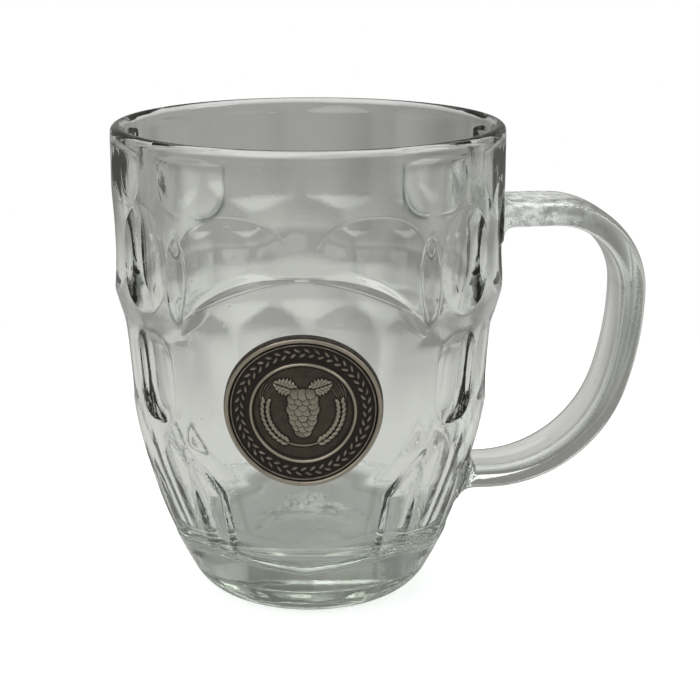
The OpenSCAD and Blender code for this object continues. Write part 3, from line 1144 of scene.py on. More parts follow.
@dataclass(frozen=True)
class MouldLines:
    """Fine raised lines that the mould leaves along the edges of the pressed pattern, as a bump height, with
    painted shade along their steep sides.

    hook runs round the facets of the top row, rib is the upright rib beside the pair of dimples, and loop
    the small ring on it. A weight says how far a line stands out, a shade how much painted shade darkens its
    steep side.
    """

    vessel: Vessel
    width: float = 0.5
    height: float = 0.00006
    hook: Ring = Ring(36.0, 116.5, 11.6, 5.0, 12.0, 0.0, 3.2, 3.2, 1.0, 1)
    rib: Ring = Ring(37.6, 88.6, 3.3, 11.0, 9.6, 0.0, 2.0, 2.0, 1.0, 0)
    loop: Ring = Ring(37.3, 97.0, 1.5, 2.3, 2.3, 0.0, 2.0, 2.0, 1.0, 0)
    hook_corner: float = 28.0
    hook_side: float = 24.6
    hook_weight: float = 0.7
    corner_weight: float = 3.0
    pair_weight: float = 0.8
    ring_weight: float = 0.9
    rib_weight: float = 1.8
    arch_weight: float = 1.5
    ledge_weight: float = 2.6
    flute_weight: float = 0.8
    ledge_corner_weight: float = 0.6
    corner_turn: tuple[float, float] = (3.0, 6.0)
    corner_z: tuple[float, float] = (107.0, 112.0)
    hook_z: tuple[float, float] = (116.0, 118.5)
    side_turn: tuple[float, float] = (0.3, 0.8)
    side_low_z: tuple[float, float] = (106.0, 109.0)
    side_high_z: tuple[float, float] = (116.0, 118.0)
    pair_z: tuple[float, float] = (97.0, 102.0)
    loop_z: tuple[float, float] = (95.5, 98.0)
    rib_z: tuple[float, float] = (81.0, 95.0)
    cap_z: tuple[float, float] = (69.5, 72.5)
    cap_turn: tuple[float, float] = (60.0, 64.0)
    arch_turn: tuple[float, float] = (33.0, 35.0)
    arch_z: tuple[float, float] = (76.0, 79.0)
    ledge_low_z: tuple[float, float] = (14.0, 16.0)
    ledge_high_z: tuple[float, float] = (20.0, 25.0)
    flute_z: tuple[float, float] = (14.0, 19.0)
    flute_turn: tuple[float, float] = (40.0, 44.0)
    wedge_shade: float = 0.9
    left_shade: float = 0.25
    right_shade: float = 0.5
    loop_shade: float = 0.9
    rib_shade: float = 0.85
    cap_shade: float = 0.8
    ring_shade: float = 0.1
    flute_shade: float = 0.25
    most_shade: float = 0.9

    def line(self, away: Wire, share: float = 1.0) -> Wire:
        """Rounded line where a distance in millimetres crosses zero, as a share of the usual width."""
        return 1 - abs(away).ramp(0.0, self.width * share)

    def outline(self, ring: Ring, turn: Wire, z: Wire, share: float = 1.0) -> Wire:
        """Line round each hollow of a ring.

        Args:
            ring: Ring of hollows.
            turn: Angle from the middle of the front, in degrees, without its sign.
            z: Height in millimetres.
            share: Width of the line as a share of the usual one.

        Returns:
            One on the line, zero away from it.
        """
        off = abs(turn - ring.first)
        if ring.last:
            off = off.at_most(abs(turn - ring.first - ring.pitch))
        rise = ((z - ring.middle_z) / ring.up).at_least((ring.middle_z - z) / ring.down)
        total = (off / ring.half_u) ** ring.square_u + rise**ring.square_z
        size = min(ring.half_u * 0.85, ring.down)
        return self.line((total ** (1 / ring.square_z) - 1) * size, share)

    def arch(self, turn: Wire, z: Wire) -> Wire:
        """Three lines along the arch over the panel, which close at its middle and at its shoulders.

        Args:
            turn: Angle from the middle of the front, in degrees, without its sign.
            z: Height in millimetres.

        Returns:
            The sum of the lines, zero away from them.
        """
        vessel, panel = self.vessel, self.vessel.panel
        across = turn * math.radians(vessel.arch_wall_r)
        up = z - (panel.arch_top - panel.arch_r)
        away = (across * across + up * up) ** 0.5 - panel.arch_r
        share = ((turn - panel.arch_start) / panel.arch_span).at_least(0.0).at_most(1.0)
        lens = turn.board.math("SINE", share * math.pi) ** panel.arch_swell
        lines = sum(self.line(away + lens * shift, 0.7) for shift in (-panel.arch_up, 1.2, 0.3))
        return lines * (1 - turn.ramp(*self.arch_turn)) * z.ramp(*self.arch_z)

    def base(self, turn: Wire, z: Wire) -> Wire:
        """Double line of the ledge, with the line of the corner above it.

        Args:
            turn: Angle from the middle of the front, in degrees, without its sign.
            z: Height in millimetres.

        Returns:
            The sum of the lines, zero away from them.
        """
        vessel = self.vessel
        swing = 1 - abs(turn / vessel.ledge_span % 2.0 - 1)
        over = z - swing * vessel.ledge_swing - vessel.ledge_z
        corner = self.line(turn * 0.65) * z.ramp(*self.ledge_low_z) * (1 - z.ramp(*self.ledge_high_z))
        return self.line(over) + self.line(over + 1.2) + corner * self.ledge_corner_weight

    def flutes(self, turn: Wire, z: Wire) -> Wire:
        """Edges of the narrow flutes, by the same formula as their depth.

        Args:
            turn: Angle from the middle of the front, in degrees, without its sign.
            z: Height in millimetres.

        Returns:
            One on a line, zero away from it.
        """
        narrow = self.vessel.narrow
        rise = ((z - narrow.tip_z) / narrow.tip_rise).at_least(0.0)
        slide = rise.at_most(1.0) * narrow.lean - narrow.lean_foot
        second, third = narrow.first + narrow.pitch, narrow.first + 2 * narrow.pitch
        first = abs(turn - narrow.first - slide) / narrow.first_half_u
        rest = abs(turn - second).at_most(abs(turn - third)) / narrow.half_u
        edge = first.at_most(rest) ** narrow.power + rise - 1
        return self.line(edge * 2.4) * z.ramp(*self.flute_z)

    def build(self, board: Board) -> tuple[Wire, Wire]:
        """Adds the lines of the outside wall, and the painted shade along their steep sides.

        Args:
            board: Node tree that takes the nodes.

        Returns:
            The height in metres, and the share of painted shade: a dark line where an edge is too steep to
            look through.
        """
        vessel = self.vessel
        outside = board.attribute("outside")
        x, y, z = board.parts(board.place())
        z = z * 1000.0
        u = board.math("ARCTAN2", x, y * -1.0) * (180 / math.pi) - vessel.panel.turn
        turn = abs(u)
        top_turn = abs(u - vessel.top_turn)
        corner = 1 - abs(top_turn - self.hook_corner).ramp(*self.corner_turn)
        corner = corner * (1 - z.ramp(*self.corner_z))
        hook = self.outline(self.hook, top_turn, z) * (1 - z.ramp(*self.hook_z))
        pair = self.outline(vessel.pair_ring, turn, z) * z.ramp(*self.pair_z)
        middle = self.outline(vessel.middle_front, turn, z)
        low = self.outline(vessel.low_front, turn, z)
        rib = self.outline(self.rib, turn, z)
        loop = self.outline(self.loop, turn, z)
        flutes = self.flutes(turn, z)
        lines = hook * (self.hook_weight + corner * self.corner_weight) + pair * self.pair_weight
        lines = lines + (middle + low) * self.ring_weight + (rib + loop) * self.rib_weight
        lines = lines + self.arch(turn, z) * self.arch_weight + self.base(turn, z) * self.ledge_weight
        lines = lines + flutes * self.flute_weight
        # Painted shade: dark bands along the steepest edges of the pattern, for the glass colour.
        side = (1 - abs(top_turn - self.hook_side).ramp(*self.side_turn)) * z.ramp(*self.side_low_z)
        side = side * (1 - z.ramp(*self.side_high_z))
        side = side * (self.left_shade + u.ramp(0.0, 1.0) * self.right_shade)
        wedge = self.outline(self.hook, top_turn, z, 2.6) * corner
        cap = self.outline(vessel.low_front, turn, z, 2.2) * z.ramp(*self.cap_z)
        cap = cap * (1 - turn.ramp(*self.cap_turn))
        shade = wedge * self.wedge_shade + side + loop * (1 - z.ramp(*self.loop_z)) * self.loop_shade
        shade = shade + rib * (1 - z.ramp(*self.rib_z)) * self.rib_shade + cap * self.cap_shade
        shade = shade + middle * self.ring_shade
        shade = shade + flutes * (1 - turn.ramp(*self.flute_turn)) * self.flute_shade
        return lines * outside * self.height, (shade * outside).at_most(self.most_shade)


@dataclass
class Handle:
    """Pressed handle bow: a band carried along a bar, a bend, a long bow, a second bend and a bar."""

    width: float = 19.0
    top_t: float = 7.0
    low_t: float = 5.8
    reach: float = 82.7
    top_z: float = 97.7
    upper_bend_r: float = 20.6
    bow_r: float = 79.0
    bow_sweep: float = 18.4
    lower_bend_r: float = 34.5
    fillet: float = 2.4
    seat: float = 8.0
    joint_gap: float = 0.03
    joint_half_w: float = 20.0
    squareness: float = 0.42

    @property
    def low_z(self) -> float:
        """Height of the middle of the lower bar."""
        drop = (self.bow_r - self.lower_bend_r) * math.sin(math.radians(self.bow_sweep))
        return self.top_z - self.upper_bend_r - drop - self.lower_bend_r

    def centre_line(self, upper_x: float, lower_x: float) -> np.ndarray:
        """Rows of x, z and outward direction in degrees along the middle of the band, from wall to wall.

        Args:
            upper_x: Place of the wall along X at the top bar.
            lower_x: Place of the wall along X at the lower bar.

        Returns:
            The rows.
        """
        top_x = self.reach - self.upper_bend_r
        top_c = self.top_z - self.upper_bend_r
        sweep = math.radians(self.bow_sweep)
        low_x = self.reach - self.bow_r + (self.bow_r - self.lower_bend_r) * math.cos(sweep)
        low_c = self.low_z + self.lower_bend_r
        rows = [self.straight(upper_x, top_x, self.top_z, 90.0)]
        rows.append(self.turn(top_x, top_c, self.upper_bend_r, 90.0, 0.0, 44))
        rows.append(self.turn(self.reach - self.bow_r, top_c, self.bow_r, 0.0, -self.bow_sweep, 24))
        rows.append(self.turn(low_x, low_c, self.lower_bend_r, -self.bow_sweep, -90.0, 48))
        rows.append(self.straight(low_x, lower_x, self.low_z, -90.0)[1:])
        return np.concatenate(rows)

    @staticmethod
    def straight(x0: float, x1: float, z: float, facing: float) -> np.ndarray:
        """Rows along a straight bar, closer together near its ends.

        Args:
            x0: Start of the bar along X.
            x1: End of the bar along X.
            z: Height of the bar's middle.
            facing: Outward direction, in degrees.

        Returns:
            The rows.
        """
        share = 0.5 - 0.5 * np.cos(np.linspace(0.0, np.pi, 14))
        x = x0 + (x1 - x0) * share
        return stacked(x, z, facing)

    @staticmethod
    def turn(x: float, z: float, r: float, first: float, last: float, count: int) -> np.ndarray:
        """Rows round a bend about a centre, without its first row."""
        a = np.linspace(first, last, count + 1)[1:]
        return np.stack([x + r * np.cos(np.radians(a)), z + r * np.sin(np.radians(a)), a], axis=-1)

    def build(self, vessel: Vessel, finish: bpy.types.Material) -> bpy.types.Object:
        """Carries the band's section along the centre line and seats both ends on the wall.

        The section is a superellipse, flat on its faces and round on its long edges. Near the wall it grows
        by a quarter circle, which makes the fillet of the fused joint.

        Args:
            vessel: Vessel that the handle is fused to.
            finish: Glass material.

        Returns:
            The piece.
        """
        ends_x = (float(vessel.wall_at(self.top_z)), float(vessel.wall_at(self.low_z)))
        line = self.centre_line(*ends_x)
        run = np.concatenate([[0.0], np.cumsum(np.hypot(*np.diff(line[:, :2], axis=0).T))])
        thick = self.top_t + (self.low_t - self.top_t) * run / run[-1]
        to_end = np.minimum(run, run[-1] - run)
        back = self.fillet - np.minimum(to_end, self.fillet)
        flare = self.fillet - np.sqrt(self.fillet**2 - back**2)
        t = np.linspace(0.0, 2 * np.pi, 64, endpoint=False)
        ring = np.stack([self.power(np.cos(t)), self.power(np.sin(t))], axis=-1)
        out = (thick / 2 + flare)[:, None] * ring[:, 0]
        across = (self.width / 2 + flare)[:, None] * ring[:, 1]
        facing = np.radians(line[:, 2])[:, None]
        x, z = line[:, :1] + out * np.cos(facing), line[:, 1:2] + out * np.sin(facing)
        nominal = np.where(run < run[-1] / 2, *ends_x)[:, None]
        share = np.clip(1.0 - to_end / self.seat, 0.0, 1.0)[:, None]
        x = x + (self.wall_x(vessel, across, z) - nominal) * share
        band = np.stack([x, across, z], axis=-1)
        first, last = self.cap(vessel, band[0])[::-1], self.cap(vessel, band[-1])
        piece = GridMesh(np.concatenate([first, band, last])).build("glass_handle")
        return dress(piece, finish, "handle")

    def wall_x(self, vessel: Vessel, y: np.ndarray, z: np.ndarray) -> np.ndarray:
        """Place of the wall along X at a width and a height, with the joint's gap."""
        return np.sqrt(vessel.wall_at(z) ** 2 - np.minimum(y * y, self.joint_half_w**2)) + self.joint_gap

    def cap(self, vessel: Vessel, edge: np.ndarray) -> np.ndarray:
        """Rows that close an end by following the wall, shrinking from its edge to its middle.

        Args:
            vessel: Vessel that the handle is fused to.
            edge: Points round the end's edge.

        Returns:
            The rows, from the edge inwards.
        """
        scale = np.array([0.985, 0.8, 0.6, 0.4, 0.2, 0.04])[:, None]
        middle_z = edge[:, 2].mean()
        y, z = scale * edge[:, 1], middle_z + scale * (edge[:, 2] - middle_z)
        return np.stack([self.wall_x(vessel, y, z), y, z], axis=-1)

    def power(self, wave: np.ndarray) -> np.ndarray:
        """Sine or cosine raised to a low power with its sign kept, which squares up a circle."""
        return np.sign(wave) * np.abs(wave) ** self.squareness


@dataclass
class Medallion:
    """Round cast pewter medallion, curved to the panel, with a hop cone between two ears of barley.

    A value that ends in _h is the height of a part of the relief over the plate. A tone says how far the
    metal is rubbed bright, or how fast that grows with the relief.
    """

    panel: Panel
    wall_r: float
    diameter: float = 37.4
    plate_t: float = 2.2
    pad_t: float = 0.6
    rim_w: float = 1.3
    rim_h: float = 0.8
    ring_d: float = 25.4
    ring_w: float = 0.9
    bond: float = 0.01
    grain_h: float = 0.42
    grains: int = 84
    grain_rings: tuple[float, float] = (15.55, 14.35)
    cone_rows: int = 8
    cone_h: float = 0.12
    leaf_length: float = 6.6
    leaf_w: float = 2.1
    leaf_h: float = 0.46
    ear_r: float = 8.9
    ear_up: float = 0.6
    ear_grains: int = 11
    ear_h: float = 0.5
    awns: int = 5
    awn_length: float = 4.6
    awn_h: float = 0.26
    stalk_h: float = 0.34
    shell_tone: float = 0.25
    middle_tone: float = 0.3
    field_tone: float = 0.34
    band_tone: float = 0.10
    proud_tone: float = 0.75
    sunk_tone: float = 3.2
    ridge_tone: float = 0.9

    @staticmethod
    def ellipse(
        x: np.ndarray, y: np.ndarray, cx: float, cy: float, half_a: float, half_b: float, angle: float
    ) -> np.ndarray:
        """One at the middle of a turned ellipse, falling as the square of the distance, negative outside.

        Args:
            x: Place across the plate.
            y: Place up the plate.
            cx: Middle of the ellipse across.
            cy: Middle of the ellipse up.
            half_a: Half length.
            half_b: Half width.
            angle: Angle of the length from the x axis, in radians.

        Returns:
            The value.
        """
        c, s = math.cos(angle), math.sin(angle)
        a = (x - cx) * c + (y - cy) * s
        b = -(x - cx) * s + (y - cy) * c
        return 1.0 - (a / half_a) ** 2 - (b / half_b) ** 2

    @staticmethod
    def bead(r: np.ndarray, middle: float, half: float, height: float) -> np.ndarray:
        """Height of a round-topped ring: half an ellipse across the ring's width."""
        return height * np.sqrt(np.clip(1.0 - ((r - middle) / half) ** 2, 0.0, None))

    def wreath(self, x: np.ndarray, y: np.ndarray) -> np.ndarray:
        """Ring of slanted barley grains in two staggered rows between the rim and the inner ring.

        A grain is half an ellipsoid: the root of what is left of one after the ellipse's two squares.

        Args:
            x: Place across the plate.
            y: Place up the plate.

        Returns:
            The height over the plate.
        """
        height = np.zeros_like(x)
        for i in range(self.grains):
            a = 2 * math.pi * i / self.grains
            r = self.grain_rings[i % 2]
            slant = a + math.pi / 2 + (0.5 if i % 2 else -0.5)
            grain = self.ellipse(x, y, r * math.cos(a), r * math.sin(a), 1.02, 0.42, slant)
            height = np.maximum(height, self.grain_h * np.sqrt(np.clip(grain, 0.0, None)))
        return height

    def cone(self, x: np.ndarray, y: np.ndarray) -> np.ndarray:
        """Hop cone of overlapping scales: each row of scales lies over the row below it.

        A scale is an ellipse with steep sides. It is highest at its lower edge and on the cone's middle
        line. The rows spread by a sine of the share from the top of the cone to its tip.

        Args:
            x: Place across the plate.
            y: Place up the plate.

        Returns:
            The height, zero outside the cone.
        """
        height = np.zeros_like(x)
        for row in reversed(range(self.cone_rows)):
            share = row / (self.cone_rows - 1)
            mid_y = 4.6 - 9.4 * share
            spread = 3.3 * math.sin(math.pi * min(1.0, 0.26 + 0.66 * share)) + 0.25
            count = 3 if row % 2 == 0 else 4
            for k in range(count):
                off = (k - (count - 1) / 2) / (count / 2)
                cx, cy = off * spread, mid_y + 0.5 * abs(off)
                scale = self.ellipse(x, y, cx, cy, 1.25, 1.5, 0.0)
                lift = 0.40 + 0.22 * np.clip((cy - y) / 1.4, -1.0, 1.0) - 0.16 * abs(off)
                height = np.where(scale > 0, np.maximum(lift * np.clip(scale * 4, 0, 1), 0.08), height)
        return height

    def leaf(self, x: np.ndarray, y: np.ndarray, side: int) -> np.ndarray:
        """Toothed leaf with a sunk middle vein, from the top of the cone out to one side.

        Its half width is a sine of the share of its length, raised to a power and waved for the teeth. The
        veins are grooves that fall off as the exponential of minus the squared distance.

        Args:
            x: Place across the plate.
            y: Place up the plate.
            side: 1 for the right side, -1 for the left.

        Returns:
            The height, zero outside the leaf.
        """
        angle = math.radians(18.0)
        px, py = x * side - 0.8, y - 5.4
        a = px * math.cos(angle) + py * math.sin(angle)
        b = -px * math.sin(angle) + py * math.cos(angle)
        share = np.clip(a / self.leaf_length, 0.0, 1.0)
        half = self.leaf_w * np.sin(np.pi * share) ** 0.75 * (1.0 + 0.12 * np.sin(a * 7.5))
        inside = np.clip((half - np.abs(b)) * 3.0, 0.0, 1.0) * ((a > 0) & (a < self.leaf_length))
        vein = 0.65 * np.exp(-((b / 0.2) ** 2))
        side_veins = 0.25 * np.exp(-((np.sin((a - np.abs(b)) * 3.2) / 0.35) ** 2))
        return self.leaf_h * inside * (1.0 - vein - side_veins)

    def ear(self, x: np.ndarray, y: np.ndarray, side: int) -> np.ndarray:
        """Ear of barley that curves up one side: paired grains along an arc, with fine awns beyond.

        A grain is half an ellipsoid that leans from the arc, an awn is a ridge along a parabola, and the
        stalk is a ridge along the arc.

        Args:
            x: Place across the plate.
            y: Place up the plate.
            side: 1 for the right side, -1 for the left.

        Returns:
            The height, zero outside the ear.
        """
        px = x * side
        height = np.zeros_like(x)
        for i in range(self.ear_grains):
            a = math.radians(-62.0 + 7.6 * i)
            cx, cy = self.ear_r * math.cos(a), self.ear_r * math.sin(a) + self.ear_up
            for lean, out in ((0.42, 0.62), (-0.42, -0.62)):
                mx, my = cx + out * math.cos(a), cy + out * math.sin(a)
                grain = self.ellipse(px, y, mx, my, 0.95, 0.46, a + math.pi / 2 - lean)
                height = np.maximum(height, self.ear_h * np.sqrt(np.clip(grain, 0.0, None)))
        for i in range(self.awns):
            bx, by = 8.4 + 0.35 * i, 2.6
            t = np.clip((y - by) / self.awn_length, 0.0, 1.0)
            line = np.abs(px - (bx - 1.9 * t * t + (i - 2) * 0.5 * t))
            awn = np.clip(1.0 - line / 0.17, 0.0, 1.0) * ((y > by) & (t < 1.0))
            height = np.maximum(height, self.awn_h * awn)
        stalk = np.abs(np.hypot(px, y - self.ear_up) - self.ear_r)
        low = (y < -6.4) & (px > -2.6)
        return np.maximum(height, self.stalk_h * np.clip(1.0 - stalk / 0.3, 0.0, 1.0) * low)

    def relief(self, x: np.ndarray, y: np.ndarray) -> np.ndarray:
        """Height of everything that stands on the plate.

        Args:
            x: Place across the plate.
            y: Place up the plate.

        Returns:
            The height, no higher than the rim.
        """
        r = np.hypot(x, y)
        edge, ring_r = self.diameter / 2 - self.rim_w, self.ring_d / 2
        rim = self.bead(r, edge + self.rim_w / 2, self.rim_w / 2, self.rim_h)
        thread = self.bead(r, edge - 0.45, 0.28, self.grain_h)
        ring = self.bead(r, ring_r - self.ring_w / 2, self.ring_w / 2, self.rim_h)
        height = np.maximum.reduce([rim, thread, ring])
        band = (r > ring_r) & (r < edge - 0.7)
        height = np.where(band, np.maximum(height, self.wreath(x, y)), height)
        field = r < ring_r - self.ring_w
        shapes = [shape(x, y, side) for side in (1, -1) for shape in (self.leaf, self.ear)]
        cone = self.cone(x, y)
        motif = np.where(cone > 0, cone + self.cone_h, np.maximum.reduce(shapes))
        return np.where(field, np.maximum(height, motif), height)

    @staticmethod
    def spread(values: np.ndarray, reach: int, axis: int) -> np.ndarray:
        """Mean of each value and its neighbours up to a reach on both sides along one axis."""
        return sum(np.roll(values, step, axis) for step in range(-reach, reach + 1)) / (2 * reach + 1)

    def build(self, finish: bpy.types.Material) -> bpy.types.Object:
        """Makes the medallion on a polar grid: back, edge and relief, with its relief kept per point.

        Args:
            finish: Pewter material.

        Returns:
            The piece.
        """
        edge = self.diameter / 2
        a = np.linspace(0.0, 2 * np.pi, 600, endpoint=False)
        front_r = np.concatenate([np.linspace(edge, edge - 2.6, 24), np.linspace(edge - 2.7, 0.1, 98)])
        back_r = np.array([0.5, 6.0, 12.0, edge - 0.35, edge])
        rows = [(r, 0.25 if r == edge else 0.0) for r in back_r]
        rows += [(edge, level * self.plate_t) for level in (0.6, 0.85, 0.97)]
        shell_r, levels = np.array(rows).T
        grid_r = np.concatenate([shell_r, front_r])[:, None]
        x, y = grid_r * np.cos(a), grid_r * np.sin(a)
        count = len(rows)
        high = self.relief(x[count:], y[count:])
        proud = np.concatenate([np.broadcast_to(levels[:, None], (count, len(a))), self.plate_t + high])
        points = self.panel.face(x, y, self.pad_t + self.bond + proud, self.wall_r)
        piece = GridMesh(points).build("pewter_medallion")
        shell = np.full(count * len(a), self.shell_tone)
        tone = self.tone(high, grid_r[count:]).reshape(-1)
        middles = [self.shell_tone, self.middle_tone]
        keep_per_point(piece, "relief", np.concatenate([shell, tone, middles]))
        return dress(piece, finish, "badge")

    def tone(self, high: np.ndarray, r: np.ndarray) -> np.ndarray:
        """How far the metal is rubbed bright: more where it stands proud, least beside something higher.

        The height round a place is averaged, and what it exceeds the place's own height by counts against it.

        Args:
            high: Height of the relief on the polar grid.
            r: Radius of the grid's rows.

        Returns:
            The share, mostly from 0 to 1.
        """
        near = self.spread(self.spread(high, 5, 1), 3, 0) - high
        ground = np.where(r < self.ring_d / 2 - self.ring_w, self.field_tone, self.band_tone)
        bright = ground + self.proud_tone * high / self.rim_h
        return bright - self.sunk_tone * np.maximum(near, 0.0) - self.ridge_tone * np.minimum(near, 0.0)


@dataclass
class BondingPad:
    """Thin layer that bonds the medallion to the panel, with a soft squeezed-out edge."""

    panel: Panel
    wall_r: float
    radius: float = 17.8
    thickness: float = 0.6
    clear: float = 0.02

    def build(self, finish: bpy.types.Material) -> bpy.types.Object:
        """Makes the pad as a disc between two drum faces, its edge wavering by a fraction of a millimetre.

        The edge's radius is less by two sine waves, of three and of seven periods round the disc.

        Args:
            finish: Adhesive material.

        Returns:
            The piece.
        """
        a = np.linspace(0.0, 2 * np.pi, 160, endpoint=False)
        waver = 1.0 - 0.012 * (1 + np.sin(3 * a + 0.6)) / 2 - 0.008 * (1 + np.sin(7 * a)) / 2
        half = [(0.05, 0.0), (0.5, 0.0), (0.96, 0.0), (1.0, 0.35)]
        levels = np.array(half + [(r, 1.0 - level) for r, level in reversed(half)])
        spread = levels[:, :1] * self.radius
        depth = levels[:, 1:] * (self.thickness - 2 * self.clear) + self.clear
        x, y = spread * np.cos(a) * waver, spread * np.sin(a) * waver
        points = self.panel.face(x, y, np.broadcast_to(depth, x.shape), self.wall_r)
        piece = GridMesh(points).build("bonding_pad")
        return dress(piece, finish, "adhesive_pad")


def dress(piece: bpy.types.Object, finish: bpy.types.Material, node: str) -> bpy.types.Object:
    """Gives a piece its material and its body, and hides the node of the solids that it stands for.

    Args:
        piece: Piece to dress.
        finish: Its material.
        node: Node of the solids that it stands for.

    Returns:
        The same piece.
    """
    piece.data.materials.append(finish)
    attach(piece, "root")
    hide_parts(node)
    return piece


@dataclass
class Studio:
    """Pale floor, white surroundings, soft lamps and the camera.

    far_sees and near_sees are the card that glass and metal see far off and near the mug. Under the mug the
    card turns darker, a painted shadow of the mug. A value that ends in _away is a distance from the mug's
    axis in metres, one that ends in _up is the height of a direction, from 0 to 1.
    """

    far_sees: Colour = (0.345, 0.345, 0.335)
    near_sees: Colour = (0.66, 0.66, 0.645)
    # Painted shadow: colour of the card that glass and metal see under the mug.
    painted_shadow_sees: Colour = (0.33, 0.33, 0.32)
    black: Colour = (0.02, 0.02, 0.02)
    white: Colour = (1.0, 1.0, 1.0)
    ceiling: Colour = (0.75, 0.75, 0.75)
    ambient: Colour = (0.72, 0.74, 0.76)
    floor_tint: Colour = (0.86, 0.86, 0.86)
    floor_lift: float = 0.28
    flag_share: float = 0.34
    loss_share: float = 0.46
    flag_edge: tuple[float, float] = (0.04, 0.42)
    flag_up: tuple[float, float] = (0.12, 0.34)
    flag_away: tuple[float, float] = (0.10, 0.25)
    loss_depth: tuple[float, float] = (5.0, 9.0)
    ceiling_up: tuple[float, float] = (0.62, 0.80)
    near_away: tuple[float, float] = (0.20, 0.52)
    painted_shadow_edge_away: tuple[float, float] = (0.024, 0.050)
    shadow_away: tuple[float, float] = (0.10, 0.30)
    floor_size: float = 1.6
    camera_away: float = 0.459
    camera_up: float = 0.1848
    camera_pitch: float = 14.95
    camera_yaw: float = 1.29
    camera_azimuth: float = -6.0
    focal_pixels: float = 1853.0

    def flags(self, board: Board, x: Wire, y: Wire) -> Wire:
        """Eight dark cards round the mug, midway between the main directions, from 0 to 1.

        The direction's angle is counted in eighths of a turn, and the cards stand at its half steps.

        Args:
            board: Node tree that takes the nodes.
            x: First part of the direction or place.
            y: Second part of it.

        Returns:
            The share of dark card.
        """
        eighths = board.math("ARCTAN2", y, x) * (4 / math.pi)
        return 1 - abs(eighths % 1.0 - 0.5).ramp(*self.flag_edge)

    def loss(self, board: Board, path: bpy.types.Node) -> Wire:
        """Share of light lost by a ray that was thrown about inside the glass instead of passing through it.

        A ray that crosses the mug meets four faces. One caught at the edge of a dimple meets more, and
        darkens the more it meets.

        Args:
            board: Node tree that takes the nodes.
            path: Light Path node.

        Returns:
            The share lost.
        """
        return board.number(path, "Ray Depth").ramp(*self.loss_depth) * self.loss_share

    @staticmethod
    def indirect(board: Board, path: bpy.types.Node) -> Wire:
        """One for a ray that reaches a surface through the glass or by its gloss."""
        return board.number(path, "Is Transmission Ray").at_least(board.number(path, "Is Glossy Ray"))

    def world(self) -> None:
        """Surroundings: white to the camera, grey card with dark flags to the glass and metal, soft light."""
        world = bpy.data.worlds.new("studio")
        bpy.context.scene.world = world
        board = Board(world)
        path = board.add("ShaderNodeLightPath", {}, {})
        camera = board.number(path, "Is Camera Ray")
        x, y, z = board.parts(board.add("ShaderNodeTexCoord", {}, {}).outputs["Generated"])
        over = z.ramp(*self.ceiling_up)
        band = z.ramp(*self.flag_up) * (1 - over)
        dark = self.flags(board, x, y).at_least(band) * self.flag_share
        card = board.blend(dark, self.far_sees, self.black)
        card = board.blend(over, card, self.ceiling)
        card = board.blend(self.loss(board, path), card, self.black)
        seen = board.blend(self.indirect(board, path), self.ambient, card)
        colour = board.blend(camera, seen, self.white)
        back = board.add("ShaderNodeBackground", {}, {"Color": colour, "Strength": 1.0})
        board.add("ShaderNodeOutputWorld", {}, {"Surface": back.outputs[0]})

    def floor(self) -> None:
        """Pale floor that keeps the shadow, fading to the white of the surroundings away from the mug. To
        glass and metal it glows as the card instead, with a painted shadow under the mug.
        """
        half = self.floor_size / 2
        mesh = bpy.data.meshes.new("floor")
        corners = [(-half, -half, 0.0), (half, -half, 0.0), (half, half, 0.0), (-half, half, 0.0)]
        mesh.from_pydata(corners, [], [(0, 1, 2, 3)])
        floor = bpy.data.objects.new("floor", mesh)
        bpy.context.scene.collection.objects.link(floor)
        material = bpy.data.materials.new("pale_floor")
        board = Board(material)
        x, y, _ = board.parts(board.place())
        away = (x * x + y * y) ** 0.5
        path = board.add("ShaderNodeLightPath", {}, {})
        card = board.blend(away.ramp(*self.near_away), self.near_sees, self.far_sees)
        # Painted shadow: the card that glass and metal see turns dark under the mug.
        card = board.blend(away.ramp(*self.painted_shadow_edge_away), self.painted_shadow_sees, card)
        dark = self.flags(board, x, y) * away.ramp(*self.flag_away) * self.flag_share
        card = board.blend(dark.at_least(self.loss(board, path)), card, self.black)
        matt = board.add("ShaderNodeBsdfDiffuse", {}, {"Color": self.floor_tint})
        lift = board.add("ShaderNodeEmission", {}, {"Color": self.white, "Strength": self.floor_lift})
        lifted = board.add("ShaderNodeAddShader", {}, {0: matt.outputs[0], 1: lift.outputs[0]})
        white = board.add("ShaderNodeEmission", {}, {"Color": self.white, "Strength": 1.0})
        glow = board.add("ShaderNodeEmission", {}, {"Color": card, "Strength": 1.0})
        seen = board.mixed(away.ramp(*self.shadow_away), lifted, white)
        other = board.mixed(self.indirect(board, path), matt, glow)
        both = board.mixed(board.number(path, "Is Camera Ray"), other, seen)
        board.add("ShaderNodeOutputMaterial", {}, {"Surface": both.outputs[0]})
        mesh.materials.append(material)

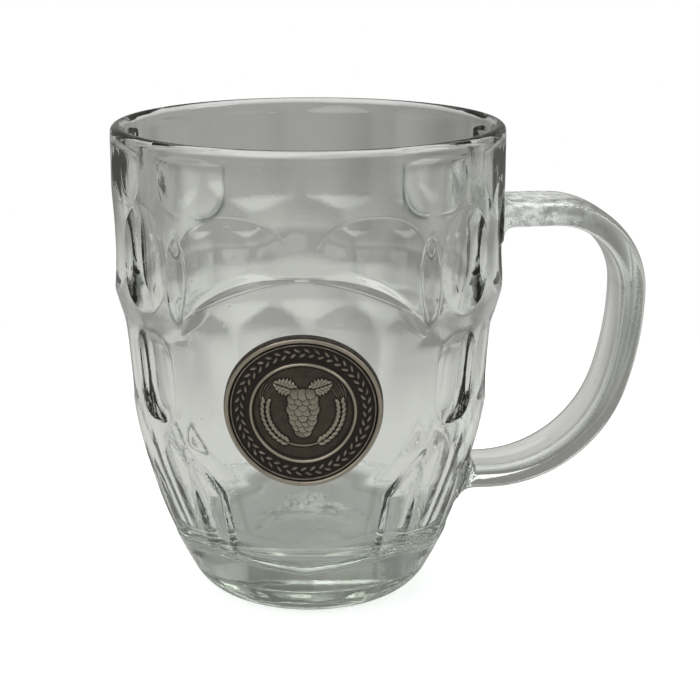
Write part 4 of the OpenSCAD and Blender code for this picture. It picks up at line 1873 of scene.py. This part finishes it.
    @staticmethod
    def lamp(name: str, place: Sequence[float], size: float, watts: float) -> None:
        """Adds a square soft lamp that looks at the middle of the mug.

        Args:
            name: Name of the lamp.
            place: Its place in metres.
            size: Length of a side in metres.
            watts: Its power.
        """
        data = bpy.data.lights.new(name, "AREA")
        data.size, data.energy = size, watts
        lamp = bpy.data.objects.new(name, data)
        lamp.location = place
        aim = np.array([0.0, 0.0, 0.06]) - np.asarray(place)
        lamp.rotation_euler = (
            math.acos(-aim[2] / np.linalg.norm(aim)),
            0.0,
            math.atan2(aim[1], aim[0]) - math.pi / 2,
        )
        bpy.context.scene.collection.objects.link(lamp)

    def camera(self) -> None:
        """Camera at the photograph's viewing angle, with the mug a little left of the middle."""
        data = bpy.data.cameras.new("camera")
        data.sensor_width = 36.0
        data.lens = self.focal_pixels / FRAME_PIXELS * data.sensor_width
        camera = bpy.data.objects.new("camera", data)
        turn = math.radians(self.camera_azimuth)
        camera.location = (
            self.camera_away * math.sin(turn),
            -self.camera_away * math.cos(turn),
            self.camera_up,
        )
        camera.rotation_euler = (
            math.radians(90.0 - self.camera_pitch),
            0.0,
            turn - math.radians(self.camera_yaw),
        )
        bpy.context.scene.collection.objects.link(camera)
        bpy.context.scene.camera = camera

    def build(self) -> None:
        """Builds everything round the mug."""
        self.world()
        self.floor()
        self.lamp("key", (-0.55, -0.55, 0.85), 1.0, 6.0)
        self.lamp("fill", (0.75, -0.35, 0.55), 0.5, 2.5)
        self.lamp("top", (0.1, 0.35, 1.0), 1.2, 4.0)
        self.camera()


def main() -> None:
    logging.basicConfig(level=logging.INFO, format="%(message)s")
    scene = bpy.context.scene
    scene.view_settings.view_transform = "Standard"
    scene.cycles.max_bounces = 24
    scene.cycles.transmission_bounces = 24
    scene.cycles.glossy_bounces = 8
    scene.cycles.transparent_max_bounces = 16
    Studio().build()
    panel = Panel()
    handle = Handle()
    vessel = Vessel(panel)
    wall_r = vessel.panel_wall()
    pieces = [
        vessel.build(handle, GlassFinish(lines=MouldLines(vessel)).build("pressed_glass")),
        handle.build(vessel, GlassFinish(rough_top_bar=True).build("handle_glass")),
        Medallion(panel, wall_r).build(PewterFinish().build("antique_pewter")),
        BondingPad(panel, wall_r).build(AdhesiveFinish().build("bonding_layer")),
    ]
    for piece in pieces:
        log.info("%s: %d points", piece.name, len(piece.data.vertices))


if __name__ == "__main__":
    main()
